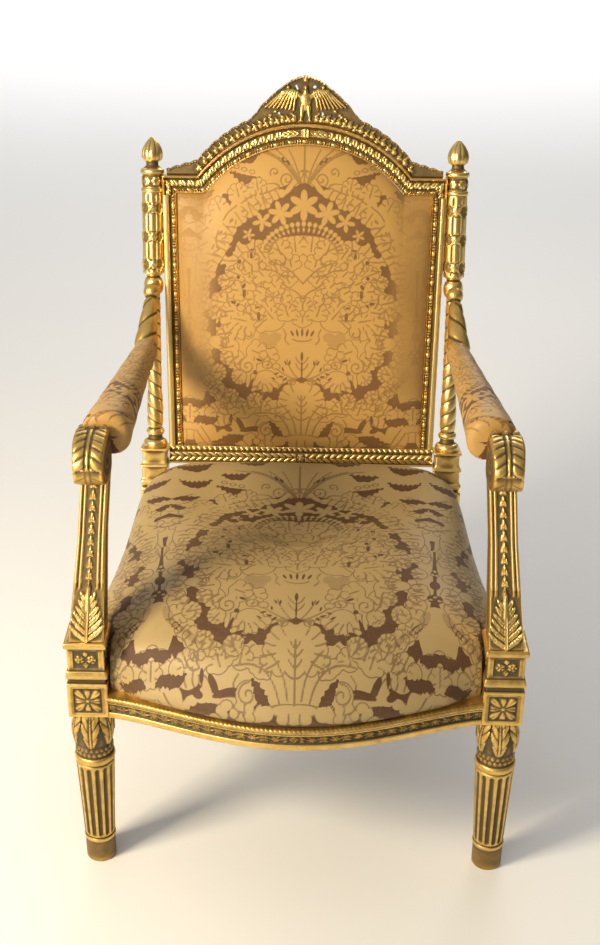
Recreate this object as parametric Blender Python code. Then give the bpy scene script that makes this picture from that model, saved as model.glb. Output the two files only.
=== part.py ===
"""Carved and gilded throne armchair with damask upholstery.

Metres, Z up.  The chair faces -Y and X = 0 is its plane of symmetry; "left" is
-X.  The back stands in its own tilted plane, so its pieces are drawn with
back_point(x, rise, out): rise runs up the plane from the foot of the back and
out runs from the plane towards the sitter.
"""

import math

import bmesh
import bpy
from mathutils import Matrix, Vector

# Clearance left between pieces that meet.
GAP = 0.0003

# Plan of the seat: the spacing of the leg and post axes, and the depth from
# the front blocks to the foot of the back.
LEG_SPREAD = 0.647
POST_SPREAD = 0.540
SEAT_DEPTH = 0.541

# Front corner: turned leg, square block and the small panelled box above it.
LEG_HEIGHT = 0.303
LEG_RADIUS = 0.0340
FLUTES = 12
FLUTE_DEPTH = 0.0036
BLOCK = 0.064
BLOCK_HEIGHT = 0.0635
CORNER_NECK = 0.0085
CORNER_BAND = 0.0145
CORNER_PANEL = 0.0410
CORNER_TOP = 0.0113
ROSETTE_RADIUS = 0.024
ROSETTE_HEIGHT = 0.0045

# Seat rails.
RAIL_HEIGHT = 0.044
RAIL_THICKNESS = 0.030
RAIL_BOW = 0.072
RAIL_BEAD = 0.010
SIDE_RAIL_INSET = 0.005

# Seat cushion.
SEAT_EDGE_HEIGHT = 0.083
SEAT_CROWN = 0.046
SEAT_BACK_RISE = 0.064
SEAT_SQUARENESS = 7.0
SEAT_SIDE_INSET = 0.003

# Back posts and legs.
RAKE = math.radians(12.23)
BACK_FOOT_HEIGHT = 0.4786
PLINTH = 0.053
PLINTH_TOP = 0.030
PLINTH_DROP = 0.033
POST_LENGTH = 0.592
POST_RADIUS = 0.0185
POST_SET_BACK = 0.010
COLUMN_RADIUS = 0.0145
COLUMN_TOP = 0.312
REEDS = 6
BACK_LEG_SPLAY = 0.070
BACK_LEG_FOOT = 0.032

# Frame of the back.
FRAME_BACK = 0.028
STILE_WIDTH = 0.0257
BOTTOM_BAND = 0.034
SHOULDER_BAND = 0.0320
ARCH_BAND = 0.0386
SHOULDER_RISE = 0.5275
ARCH_RISE = 0.0911
ARCH_HALF_WIDTH = 0.190
MOULDING = 0.005
ARCH_STEPS = 16
PAD_CROWN = 0.032
PAD_EDGE = 0.003
PAD_BACK = 0.012

# Carved crest on the arch.
CREST_BAND = 0.024
CREST_PEAK = 0.055
CREST_PEAK_HALF_WIDTH = 0.095
CREST_THICKNESS = 0.020
CREST_SCALLOP = 0.0025
PIERCING = 0.0035

# Arms.
ARM_HEIGHT = 0.690
ARM_RAIL_HEIGHT = 0.022
ARM_RAIL_WIDTH = 0.036
ARM_FRONT_X = 0.306
KNUCKLE_WIDTH = 0.049
KNUCKLE_HEIGHT = 0.075
KNUCKLE_FRONT = 0.022
KNUCKLE_BACK = 0.106
ARM_BALL = 0.0150
ARM_BALL_RISE = 0.330
ARM_COLLAR_Y = 0.503
ARM_COLLAR_HEIGHT = 0.0566
ARM_PAD_FRONT_RADIUS = 0.0385
ARM_PAD_BACK_RADIUS = 0.0190
SUPPORT_FOOT_WIDTH = 0.054
SUPPORT_HEAD_WIDTH = 0.042
SUPPORT_DEPTH = 0.052
SUPPORT_LEAN = 0.079
SUPPORT_FOOT_FRONT = 0.005

X_AXIS = Vector((1.0, 0.0, 0.0))
Y_AXIS = Vector((0.0, 1.0, 0.0))
Z_AXIS = Vector((0.0, 0.0, 1.0))

leg_x = LEG_SPREAD / 2
post_x = POST_SPREAD / 2
leg_y = BLOCK / 2
rail_top = LEG_HEIGHT + RAIL_HEIGHT
corner_top = LEG_HEIGHT + BLOCK_HEIGHT + CORNER_NECK + CORNER_BAND + CORNER_PANEL + CORNER_TOP
back_up = Vector((0.0, math.sin(RAKE), math.cos(RAKE)))
back_out = Vector((0.0, -math.cos(RAKE), math.sin(RAKE)))
back_foot = Vector((0.0, SEAT_DEPTH, BACK_FOOT_HEIGHT))


def back_point(x, rise, out):
    """A point of the back, given in the back's own plane."""
    return back_foot + X_AXIS * x + back_up * rise + back_out * out


post_block_y = back_point(0.0, -PLINTH_DROP, -POST_SET_BACK).y
post_block_front = post_block_y - PLINTH / 2
frame_foot_x = post_x - PLINTH / 2 - GAP
frame_head_x = post_x - POST_RADIUS + 0.0030
post_clearance = POST_RADIUS * 1.14 + GAP


# Helpers.

def new_material(name, colour, metallic, roughness):
    material = bpy.data.materials.new(name)
    material.use_nodes = True
    shader = material.node_tree.nodes["Principled BSDF"]
    shader.inputs["Base Color"].default_value = (*colour, 1.0)
    shader.inputs["Metallic"].default_value = metallic
    shader.inputs["Roughness"].default_value = roughness
    return material


def gilt(name):
    return new_material(name + "_gilt", (0.48, 0.26, 0.045), 0.6, 0.42)


def damask(name):
    return new_material(name + "_damask", (0.17, 0.075, 0.032), 0.0, 0.8)


def new_object(name, mesh, material):
    item = bpy.data.objects.new(name, mesh)
    throne.objects.link(item)
    mesh.materials.append(material)
    return item


def shade(item, angle=35.0):
    """Smooth shading, with edges sharper than the angle kept crisp."""
    mesh = bmesh.new()
    mesh.from_mesh(item.data)
    for face in mesh.faces:
        face.smooth = True
    for edge in mesh.edges:
        edge.smooth = edge.calc_face_angle(0.0) < math.radians(angle)
    mesh.to_mesh(item.data)
    mesh.free()


def ring(centre, across, up, wide, high, square=0.0, lobes=0, depth=0.0, turn=0.0, count=16, phase=0.0):
    """Closed section: an ellipse, or with square = 1 a rectangle, with lobes cut in and turned."""
    points = []
    for step in range(count):
        base = 2 * math.pi * (step + phase) / count
        cosine = math.cos(base + turn)
        sine = math.sin(base + turn)
        reach = 1 + (1 / max(abs(cosine), abs(sine)) - 1) * square
        cut = depth * (0.5 - 0.5 * math.cos(lobes * base)) if lobes else 0.0
        side = across * (cosine * (wide * reach - cut))
        lift = up * (sine * (high * reach - cut))
        points.append(centre + side + lift)
    return points


def skin(name, rings, material):
    """Closed body through sections that have the same number of points."""
    body = bmesh.new()
    rows = [[body.verts.new(point) for point in points] for points in rings]
    count = len(rows[0])
    for lower, upper in zip(rows, rows[1:]):
        for here in range(count):
            after = (here + 1) % count
            body.faces.new((lower[here], lower[after], upper[after], upper[here]))
    body.faces.new(reversed(rows[0]))
    body.faces.new(rows[-1])
    bmesh.ops.recalc_face_normals(body, faces=body.faces)
    mesh = bpy.data.meshes.new(name)
    body.to_mesh(mesh)
    body.free()
    return new_object(name, mesh, material)


def box(name, low, high):
    """Cutter box between two corners."""
    low = Vector(low)
    high = Vector(high)
    bpy.ops.mesh.primitive_cube_add(size=1.0, location=(low + high) / 2)
    item = bpy.context.object
    item.name = name
    item.scale = high - low
    bpy.ops.object.transform_apply(location=True, rotation=True, scale=True)
    return as_cutter(item)


def as_cutter(item):
    for collection in list(item.users_collection):
        collection.objects.unlink(item)
    cutters.objects.link(item)
    item.hide_render = True
    item.display_type = "WIRE"
    return item


def combine(item, others, operation):
    """Exact Boolean of the item with each other object, applied at once."""
    for other in others:
        modifier = item.modifiers.new(operation.lower() + "_" + other.name, "BOOLEAN")
        modifier.operation = operation
        modifier.solver = "EXACT"
        modifier.object = other
    graph = bpy.context.evaluated_depsgraph_get()
    result = bpy.data.meshes.new_from_object(item.evaluated_get(graph))
    item.modifiers.clear()
    item.data = result
    return item


def join_solids(item, others):
    combine(item, others, "UNION")
    for other in others:
        bpy.data.objects.remove(other)
    return item


def mirrored(item, name, material):
    """The same piece on the other side of the plane of symmetry."""
    body = bmesh.new()
    body.from_mesh(item.data)
    bmesh.ops.transform(body, matrix=Matrix.Scale(-1.0, 4, X_AXIS), verts=body.verts)
    bmesh.ops.reverse_faces(body, faces=body.faces)
    mesh = bpy.data.meshes.new(name)
    body.to_mesh(mesh)
    body.free()
    return new_object(name, mesh, material)


def steps(count):
    """Fractions 0 to 1 in equal steps."""
    return [index / count for index in range(count + 1)]


def blend(start, end, share):
    return start + (end - start) * share


def bulge(share):
    """0 at both ends of a moulding, 1 in its middle."""
    return math.sin(math.pi * share)


# Turnings.  A station is (height, radius, lobes, depth of lobes, turn).

def torus(low, high, radius, swell, parts=2, turn=0.0):
    """Half-round moulding between two heights."""
    return [(blend(low, high, share), radius + swell * bulge(share), 0, 0.0, turn) for share in steps(parts)]


def shaft(low, high, foot, head, lobes, depth, turn=0.0):
    """Fluted or reeded length that runs out to plain ends."""
    run_out = (high - low) * 0.05
    inner = [(low + run_out, foot, lobes, depth, turn), (high - run_out, head, lobes, depth, turn)]
    return [(low, foot - depth, 0, 0.0, turn)] + inner + [(high, head - depth, 0, 0.0, turn)]


def twist(low, high, foot, head, lobes, depth, turns, parts):
    """Rope-twisted length with its fullest part near the foot."""
    stations = []
    for share in steps(parts):
        radius = blend(foot, head, share) * (0.86 + 0.14 * min(1.0, 6 * share, 12 * (1 - share)))
        stations.append((blend(low, high, share), radius, lobes, depth * radius, turns * share))
    return stations


def turned(name, stations, place, material, count, phase=0.0):
    """Body through stations, put in space by place(height) -> (centre, across, up)."""
    rings = []
    for height, radius, lobes, depth, turn in stations:
        centre, across, up = place(height)
        rings.append(ring(centre, across, up, radius, radius, 0.0, lobes, depth, turn, count, phase))
    return skin(name, rings, material)


def square_stack(name, stations, place, material):
    """Square body through (height, half width) stations."""
    rings = []
    for height, half in stations:
        centre, across, up = place(height)
        rings.append(ring(centre, across, up, half, half, 1.0, count=4, phase=0.5))
    return skin(name, rings, material)


def rosette(name, centre, across, up, out, material):
    """Eight petals round a raised eye, sunk a little into its block."""
    rings = []
    for reach, height, depth in ((1.0, -0.2, 0.0), (1.0, 0.5, 0.2), (0.25, 1.0, 0.0)):
        radius = ROSETTE_RADIUS * reach
        middle = centre + out * (ROSETTE_HEIGHT * height)
        rings.append(ring(middle, across, up, radius, radius, 0.0, 8, depth * ROSETTE_RADIUS, count=16))
    return skin(name, rings, material)


# Front legs.

def make_front_leg():
    material = gilt("leg_front_left")
    unit = LEG_HEIGHT / 0.303
    big = LEG_RADIUS / 0.0340
    stations = [(0.0, 0.0245 * big, 0, 0.0, 0.0), (0.0415 * unit, 0.0245 * big, 0, 0.0, 0.0)]
    stations += torus(0.043 * unit, 0.0505 * unit, 0.0242 * big, 0.0018 * big)
    stations += shaft(0.052 * unit, 0.160 * unit, 0.0255 * big, 0.0308 * big, FLUTES, FLUTE_DEPTH)
    stations += torus(0.165 * unit, 0.182 * unit, 0.0290 * big, 0.0040 * big)
    stations += [(0.1925 * unit, 0.0318 * big, 12, 0.002, 0.0), (0.201 * unit, 0.0285 * big, 0, 0.0, 0.0)]
    stations += [(0.212 * unit, 0.0330 * big, 8, 0.002, 0.0), (0.228 * unit, LEG_RADIUS, 8, 0.005, 0.0)]
    stations += [(0.252 * unit, 0.0318 * big, 8, 0.004, 0.0), (0.276 * unit, 0.0278 * big, 8, 0.002, 0.0)]
    stations += [(LEG_HEIGHT + BLOCK_HEIGHT * 0.1, 0.0265 * big, 0, 0.0, 0.0)]

    def place(height):
        return Vector((-leg_x, leg_y, height)), X_AXIS, Y_AXIS

    leg = turned("leg_front_left", stations, place, material, 24)
    half = BLOCK / 2
    top = LEG_HEIGHT
    squares = [(top, half), (top + BLOCK_HEIGHT, half), (top + BLOCK_HEIGHT, half * 0.90)]
    top += BLOCK_HEIGHT + CORNER_NECK
    squares += [(top, half * 0.90), (top, half * 1.03), (top + CORNER_BAND, half * 1.03)]
    top += CORNER_BAND
    squares += [(top, half * 0.91), (top + CORNER_PANEL, half * 0.91), (top + CORNER_PANEL, half * 1.05)]
    squares += [(corner_top, half * 1.05)]
    block = square_stack("front_block", squares, place, material)
    middle = Vector((-leg_x, leg_y, LEG_HEIGHT + BLOCK_HEIGHT / 2))
    front = rosette("front_rosette", middle - Y_AXIS * half, X_AXIS, Z_AXIS, -Y_AXIS, material)
    side = rosette("side_rosette", middle - X_AXIS * half, Y_AXIS, Z_AXIS, -X_AXIS, material)
    join_solids(leg, [block, front, side])
    shade(leg)
    return leg


# Back posts, each in one length with its plinth and its raked leg.

def make_post():
    material = gilt("post_left")
    unit = POST_LENGTH / 0.592
    fat = POST_RADIUS / 0.0185
    slim = COLUMN_RADIUS / 0.0145
    turns = 2 * math.pi
    stations = torus(PLINTH_TOP - 0.003, PLINTH_TOP + 0.014 * unit, 0.0175 * fat, 0.003 * fat)
    stations += torus(PLINTH_TOP + 0.023 * unit, PLINTH_TOP + 0.035 * unit, 0.0125 * slim, 0.004 * slim)
    stations += twist(PLINTH_TOP + 0.038 * unit, COLUMN_TOP, COLUMN_RADIUS, 0.0118 * slim, 4, 0.20, turns, 14)
    knob = COLUMN_TOP + 0.034 * unit
    stations += torus(COLUMN_TOP + 0.006 * unit, knob, 0.0135 * slim, 0.0042 * slim, 3, turns)
    capital = 0.500 * unit
    stations += shaft(knob + 0.006 * unit, capital - 0.006 * unit, POST_RADIUS, POST_RADIUS, REEDS, 0.0022, turns)
    stations += torus(capital - 0.004 * unit, capital + 0.004 * unit, 0.0185 * fat, 0.0020 * fat, 2, turns)
    drum = [(capital + 0.006 * unit, 0.0180 * fat), (capital + 0.026 * unit, 0.0180 * fat)]
    stations += [(height, radius, 6, 0.0015, turns) for height, radius in drum]
    stations += torus(capital + 0.028 * unit, capital + 0.037 * unit, 0.0185 * fat, 0.0022 * fat, 2, turns)
    stations += [(capital + 0.044 * unit, 0.0105 * fat, 0, 0.0, turns)]
    stations += torus(capital + 0.049 * unit, capital + 0.056 * unit, 0.0120 * fat, 0.0025 * fat, 2, turns)
    stations += [(capital + 0.062 * unit, 0.0178 * fat, 6, 0.002, turns)]
    stations += [(capital + 0.070 * unit, 0.0185 * fat, 6, 0.003, turns)]
    stations += [(capital + 0.079 * unit, 0.0100 * fat, 0, 0.0, turns)]
    stations += [(capital + 0.084 * unit, 0.0092 * fat, 0, 0.0, turns)]
    stations += [(POST_LENGTH - 0.002, 0.0050 * fat, 0, 0.0, turns), (POST_LENGTH, 0.0020 * fat, 0, 0.0, turns)]

    def along_back(rise):
        return back_point(-post_x, rise, -POST_SET_BACK), X_AXIS, back_out.cross(X_AXIS).cross(X_AXIS) * -1.0

    def below(height):
        """Vertical at the seat; the leg sweeps back towards the floor."""
        drop = max(0.0, 1 - height / LEG_HEIGHT)
        sweep = BACK_LEG_SPLAY * drop ** 1.4
        return Vector((-post_x, post_block_y + sweep, height)), X_AXIS, Y_AXIS

    post = turned("post_left", stations, along_back, material, 12)
    half = PLINTH / 2
    plinth = [(-PLINTH_DROP * 1.3, half * 0.92), (-PLINTH_DROP, half * 0.92), (-PLINTH_DROP, half)]
    plinth += [(-0.002, half), (0.0, half * 0.90), (0.006, half * 0.86), (PLINTH_TOP - 0.006, half * 0.86)]
    plinth += [(PLINTH_TOP - 0.006, half * 0.95), (PLINTH_TOP, half * 0.95)]
    base = square_stack("post_plinth", plinth, along_back, material)
    seat_block_top = back_point(0.0, -PLINTH_DROP * 1.2, -POST_SET_BACK).z
    foot = BACK_LEG_FOOT / 2
    legs = [(0.0, foot * 0.9), (0.006, foot)]
    legs += [(LEG_HEIGHT * share, blend(foot, half * 0.86, share)) for share in (0.3, 0.6, 0.9)]
    legs += [(LEG_HEIGHT * 0.985, half * 0.86), (LEG_HEIGHT, half), (seat_block_top, half)]
    leg = square_stack("post_leg", legs, below, material)
    join_solids(post, [base, leg])
    shade(post)
    return post


# Seat rails.

def rail_section(front, outward, depth, frieze):
    """Moulded section of a seat rail: bead on top, carved frieze, fillet below."""
    outline = [(0.0, 0.0), (0.0, 0.16), (-0.12, 0.22), (-0.12 + frieze, 0.45), (-0.10, 0.68), (0.45, 0.76)]
    outline += [(1.0, 0.88), (0.6, 1.0)]
    points = [front + outward * (RAIL_BEAD * out) + Z_AXIS * (RAIL_HEIGHT * up) for out, up in outline]
    return points + [front - outward * depth + Z_AXIS * RAIL_HEIGHT, front - outward * depth]


def bow(x):
    """How far the front rail stands forward of the blocks at x."""
    share = min(1.0, abs(x) / (leg_x - BLOCK / 2))
    return RAIL_BOW * math.cos(math.pi / 2 * share) ** 1.3


def make_front_rail():
    end = leg_x - BLOCK / 2 - GAP
    rings = []
    for index, share in enumerate(steps(24)):
        x = blend(-end, end, share)
        frieze = 0.55 * (index % 2) if 0 < index < 24 else 0.0
        rings.append(rail_section(Vector((x, -bow(x), LEG_HEIGHT)), -Y_AXIS, RAIL_THICKNESS, frieze))
    rail = skin("seat_rail_front", rings, gilt("seat_rail_front"))
    shade(rail)
    return rail


def side_rail_face(y):
    """Outer face of the left seat rail at y."""
    front = leg_x + BLOCK / 2 - SIDE_RAIL_INSET - RAIL_BEAD
    back = post_x + PLINTH / 2 - SIDE_RAIL_INSET - RAIL_BEAD / 2
    share = (y - BLOCK) / (post_block_front - BLOCK)
    return -blend(front, back, share)


def make_side_rail():
    rings = []
    for y in (BLOCK + GAP, post_block_front - GAP):
        foot = Vector((side_rail_face(y), y, LEG_HEIGHT))
        rings.append(rail_section(foot, -X_AXIS, RAIL_THICKNESS, 0.3))
    rail = skin("seat_rail_left", rings, gilt("seat_rail_left"))
    shade(rail)
    return rail


def make_back_rail():
    end = post_x - PLINTH / 2 - GAP
    rings = []
    for x in (-end, end):
        foot = Vector((x, post_block_y + PLINTH / 2 - RAIL_BEAD, LEG_HEIGHT))
        rings.append(rail_section(foot, Y_AXIS, RAIL_THICKNESS, 0.3))
    rail = skin("seat_rail_back", rings, gilt("seat_rail_back"))
    shade(rail)
    return rail


# Seat cushion.

def make_seat():
    """Crowned cushion on the rails, notched round the corner blocks and posts."""
    front = 0.002
    back = SEAT_DEPTH - 0.008
    middle = (front + back) / 2
    reach = (back - front) / 2

    def outline_point(angle, scale, swell):
        """Rounded square in plan, tapered to the rails and bowed out in front."""
        total = abs(math.cos(angle)) ** SEAT_SQUARENESS + abs(math.sin(angle)) ** SEAT_SQUARENESS
        size = total ** (-1 / SEAT_SQUARENESS)
        along = size * math.sin(angle)
        across = size * math.cos(angle)
        y = middle + reach * along
        face = -side_rail_face(min(max(y, BLOCK), post_block_front)) - SEAT_SIDE_INSET
        x = across * face
        if along < 0:
            y -= bow(x) * abs(along) ** 3
        return Vector(((x + swell * across) * scale, middle + (y + swell * along - middle) * scale, 0.0))

    heights = [(0.0, 1.0, 0.0), (0.30, 1.0, 0.003), (0.70, 0.995, 0.003), (1.0, 0.955, 0.0)]
    rings = []
    for share, scale, swell in heights:
        rings.append((rail_top + GAP + SEAT_EDGE_HEIGHT * share, scale, swell))
    for scale in (0.86, 0.70, 0.46, 0.16):
        dome = 1 - ((scale / 0.955) ** 2.6)
        rings.append((rail_top + GAP + SEAT_EDGE_HEIGHT + SEAT_CROWN * dome, scale, 0.0))
    bodies = []
    for height, scale, swell in rings:
        points = [outline_point(2 * math.pi * (index + 0.5) / 32, scale, swell) for index in range(32)]
        lift = SEAT_BACK_RISE * min(1.0, (height - rail_top) / SEAT_EDGE_HEIGHT)
        bodies.append([point + Z_AXIS * (height + lift * max(0.0, point.y / back) ** 5) for point in points])
    seat = skin("seat_cushion", bodies, damask("seat_cushion"))
    tools = []
    inner = leg_x - BLOCK * 0.525 - GAP
    support_back = SUPPORT_FOOT_FRONT + SUPPORT_DEPTH + SUPPORT_LEAN * 0.45
    post_inner = post_x - PLINTH / 2 - GAP
    for side, name in ((-1, "left"), (1, "right")):
        far = side * (leg_x + BLOCK)
        block_front = -RAIL_BOW - BLOCK
        corner = (side * inner, block_front, LEG_HEIGHT)
        tools.append(box("block_notch_" + name, *ordered(corner, (far, BLOCK * 1.03 + GAP, corner_top + GAP))))
        stem = (side * (leg_x - SUPPORT_FOOT_WIDTH * 0.60 - GAP), block_front, corner_top - 0.012)
        tools.append(box("support_notch_" + name, *ordered(stem, (far, support_back, ARM_HEIGHT))))
        post = (side * post_inner, post_block_front - GAP, LEG_HEIGHT)
        tools.append(box("post_notch_" + name, *ordered(post, (far, SEAT_DEPTH + BLOCK, ARM_HEIGHT))))
    combine(seat, tools, "DIFFERENCE")
    shade(seat, 50.0)
    return seat


def ordered(first, second):
    """The low and the high corner of the box between two points."""
    low = [min(pair) for pair in zip(first, second)]
    high = [max(pair) for pair in zip(first, second)]
    return low, high


# Frame of the back.

def arc_height(x, half, rise):
    """Height above its chord of an arch with this half width and rise."""
    if abs(x) >= half:
        return 0.0
    radius = (half * half + rise * rise) / (2 * rise)
    return math.sqrt(radius * radius - x * x) - (radius - rise)


def outer_rise(x):
    return SHOULDER_RISE + arc_height(x, ARCH_HALF_WIDTH, ARCH_RISE)


inner_half = ARCH_HALF_WIDTH - 0.4 * SHOULDER_BAND
shoulder_inner = SHOULDER_RISE - SHOULDER_BAND
inner_arch_rise = SHOULDER_RISE + ARCH_RISE - ARCH_BAND - shoulder_inner


def inner_rise(x):
    return shoulder_inner + arc_height(x, inner_half, inner_arch_rise)


def arch_stations():
    """Positions across the arch's inner edge, closer together towards its ends."""
    fan = math.pi / 2 * 0.8
    return [inner_half * math.sin(fan * (2 * share - 1)) / math.sin(fan) for share in steps(ARCH_STEPS)]


def frame_edge(rise):
    """Half width of the frame at this rise."""
    return blend(frame_foot_x, frame_head_x, min(1.0, rise / SHOULDER_RISE))


def opening_edge(rise):
    return frame_edge(rise) - STILE_WIDTH


def band_section(outer, inner):
    """Moulded section of the frame between an outer and an inner point of the back's plane."""
    outline = [(0.0, -FRAME_BACK), (0.0, 0.0), (0.12, MOULDING), (0.30, MOULDING), (0.42, 0.0)]
    outline += [(0.74, 0.0), (0.80, MOULDING * 0.7), (1.0, MOULDING * 0.7), (1.0, -FRAME_BACK)]
    points = []
    for share, out in outline:
        points.append(back_point(blend(outer[0], inner[0], share), blend(outer[1], inner[1], share), out))
    return points


def post_cutters():
    """Rods round the two posts, a clearance larger than their widest rings."""
    rods = []
    for side, name in ((-1, "left"), (1, "right")):
        centre = back_point(side * post_x, (COLUMN_TOP + POST_LENGTH) / 2, -POST_SET_BACK)
        length = POST_LENGTH - COLUMN_TOP + 0.1
        bpy.ops.mesh.primitive_cylinder_add(vertices=24, radius=post_clearance, depth=length, location=centre)
        rod = bpy.context.object
        rod.name = "post_rod_" + name
        rod.rotation_euler = (-RAKE, 0.0, 0.0)
        bpy.ops.object.transform_apply(location=True, rotation=True, scale=True)
        rods.append(as_cutter(rod))
    return rods


def make_top_rail(rods):
    joint = shoulder_inner - 0.004
    stations = [((-frame_edge(joint), joint), (-opening_edge(joint), joint))]
    stations.append(((-frame_edge(SHOULDER_RISE), SHOULDER_RISE), (-opening_edge(joint), shoulder_inner)))
    for inner in arch_stations():
        outer = inner * ARCH_HALF_WIDTH / inner_half
        stations.append(((outer, outer_rise(outer)), (inner, inner_rise(inner))))
    stations.append(((frame_edge(SHOULDER_RISE), SHOULDER_RISE), (opening_edge(joint), shoulder_inner)))
    stations.append(((frame_edge(joint), joint), (opening_edge(joint), joint)))
    rail = skin("top_rail", [band_section(outer, inner) for outer, inner in stations], gilt("top_rail"))
    combine(rail, rods, "DIFFERENCE")
    shade(rail)
    return rail


def make_stile(rods):
    low = BOTTOM_BAND + GAP
    high = shoulder_inner - 0.004 - GAP
    ends = [((-frame_edge(rise), rise), (-opening_edge(rise), rise)) for rise in (low, high)]
    stile = skin("stile_left", [band_section(outer, inner) for outer, inner in ends], gilt("stile_left"))
    combine(stile, rods, "DIFFERENCE")
    shade(stile)
    return stile


def make_bottom_rail():
    half = frame_edge(0.0)
    ends = [((x, 0.0), (x, BOTTOM_BAND)) for x in (-half, half)]
    rail = skin("bottom_rail", [band_section(outer, inner) for outer, inner in ends], gilt("bottom_rail"))
    shade(rail)
    return rail


def opening_grid(upwards, face):
    """Rows of points over the frame's opening, less the clearance; face(u, v) gives how far out."""
    rows = []
    foot = BOTTOM_BAND + GAP
    slim = (inner_half - GAP) / inner_half
    widest = opening_edge(shoulder_inner) - GAP
    sides = [-1.0] + [x * slim / widest for x in arch_stations()] + [1.0]
    for v in steps(upwards):
        row = []
        for side in sides:
            half = opening_edge(blend(foot, shoulder_inner, v)) - GAP
            x = side * half
            head = inner_rise(side * widest / slim) - GAP * 1.6
            row.append(back_point(x, blend(foot, head, v), face(side, 2 * v - 1)))
        rows.append(row)
    return rows


def slab(name, front, back, material):
    """Closed body between two grids of points with a common edge."""
    body = bmesh.new()
    faces = [[[body.verts.new(point) for point in row] for row in grid] for grid in (front, back)]
    for number, grid in enumerate(faces):
        for low, high in zip(grid, grid[1:]):
            for index in range(len(low) - 1):
                corners = [low[index], low[index + 1], high[index + 1], high[index]]
                body.faces.new(corners if number == 0 else corners[::-1])
    rims = []
    for grid in faces:
        left = [row[0] for row in grid[1:-1]]
        right = [row[-1] for row in grid[1:-1]]
        rims.append(list(grid[0]) + right + list(grid[-1][::-1]) + left[::-1])
    count = len(rims[0])
    for index in range(count):
        after = (index + 1) % count
        body.faces.new((rims[0][after], rims[0][index], rims[1][index], rims[1][after]))
    bmesh.ops.recalc_face_normals(body, faces=body.faces)
    bmesh.ops.dissolve_limit(body, angle_limit=0.001, verts=body.verts, edges=body.edges)
    mesh = bpy.data.meshes.new(name)
    body.to_mesh(mesh)
    body.free()
    return new_object(name, mesh, material)


def make_back_pad():
    def crowned(u, v):
        return PAD_EDGE + PAD_CROWN * ((1 - abs(u) ** 3.2) * (1 - abs(v) ** 3.2)) ** 0.8

    def flat(u, v):
        return -PAD_BACK

    pad = slab("back_pad", opening_grid(9, crowned), opening_grid(9, flat), damask("back_pad"))
    shade(pad, 50.0)
    return pad


def make_back_cover():
    def front(u, v):
        return -PAD_BACK - GAP

    def back(u, v):
        return -FRAME_BACK

    return slab("back_cover", opening_grid(1, front), opening_grid(1, back), damask("back_cover"))


# Crest.

def crest_top(x):
    """Outline of the crest: a band of leaves along the arch that climbs to the bird."""
    peak = max(0.0, 1 - (abs(x) / CREST_PEAK_HALF_WIDTH) ** 1.6)
    end = frame_edge(SHOULDER_RISE) - POST_RADIUS * 0.5
    fade = min(1.0, max(0.0, (end - abs(x)) / (end - ARCH_HALF_WIDTH)))
    scallop = CREST_SCALLOP * abs(math.sin(abs(x) * math.pi / 0.017))
    return outer_rise(x) + GAP + (CREST_BAND * (0.35 + 0.65 * fade) + scallop + CREST_PEAK * peak)


def crest_relief(x, height):
    """How far the carving stands out: the bird with spread wings, and leaves down both slopes."""
    share = abs(x) / CREST_PEAK_HALF_WIDTH
    body = math.exp(-((x / 0.017) ** 2 + ((height - 0.55) / 0.24) ** 2))
    head = math.exp(-((x / 0.010) ** 2 + ((height - 0.86) / 0.12) ** 2))
    span = max(0.0, 1 - share ** 4) * math.exp(-((height - 0.62 - 0.15 * share) / 0.22) ** 2)
    wing = span * (0.7 + 0.3 * math.cos(share * 9 * math.pi))
    leaves = 0.5 - 0.5 * math.cos(abs(x) * 2 * math.pi / 0.034)
    slope = min(1.0, share) * leaves * bulge(min(1.0, max(0.0, height)))
    return 0.016 * body + 0.010 * head + 0.008 * wing + 0.007 * slope


def make_crest():
    end = frame_edge(SHOULDER_RISE) - POST_RADIUS * 0.5
    columns = 44
    rows = 4
    front = []
    back = []
    for v in steps(rows):
        front.append([])
        back.append([])
        for u in steps(columns):
            side = 2 * u - 1
            x = end * math.copysign(abs(side) ** 1.25, side)
            low = outer_rise(x) + GAP
            rise = blend(low, crest_top(x), v)
            rim = 0.3 + 0.7 * min(1.0, 3 * v, 3 * (1 - v) + 0.4)
            front[-1].append(back_point(x, rise, 0.002 + crest_relief(x, v) * rim))
            back[-1].append(back_point(x, rise, -CREST_THICKNESS))
    crest = slab("crest_carving", front, back, gilt("crest_carving"))
    tools = []
    for number, (x, share) in enumerate(((0.026, 0.80), (0.052, 0.34))):
        for side in (-1, 1):
            rise = blend(outer_rise(x), crest_top(x), share)
            bpy.ops.mesh.primitive_cylinder_add(vertices=6, radius=PIERCING, depth=0.2)
            hole = bpy.context.object
            hole.name = "piercing_%d_%s" % (number, "left" if side < 0 else "right")
            hole.matrix_world = Matrix.Translation(back_point(side * x, rise, 0.0)) @ back_turn
            bpy.ops.object.transform_apply(location=True, rotation=True, scale=True)
            tools.append(as_cutter(hole))
    combine(crest, tools, "DIFFERENCE")
    shade(crest, 45.0)
    return crest


back_turn = Matrix.Rotation(math.pi / 2 - RAKE, 4, "X")


# Arms.

collar_z = ARM_HEIGHT + ARM_COLLAR_HEIGHT / 2
ball_centre = back_point(-post_x, ARM_BALL_RISE, -POST_SET_BACK)
ball_centre -= Y_AXIS * (COLUMN_RADIUS * 1.23 + ARM_BALL + GAP) / math.cos(RAKE)
rail_back_x = post_x + 0.0045
arm_rail_top = ARM_HEIGHT + ARM_RAIL_HEIGHT


def arm_centre_x(y):
    """Centre of the arm in plan, from the ball at the post to the knuckle."""
    share = min(1.0, max(0.0, (ARM_COLLAR_Y - y) / (ARM_COLLAR_Y - KNUCKLE_BACK)))
    return -blend(rail_back_x, ARM_FRONT_X, share)


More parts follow.
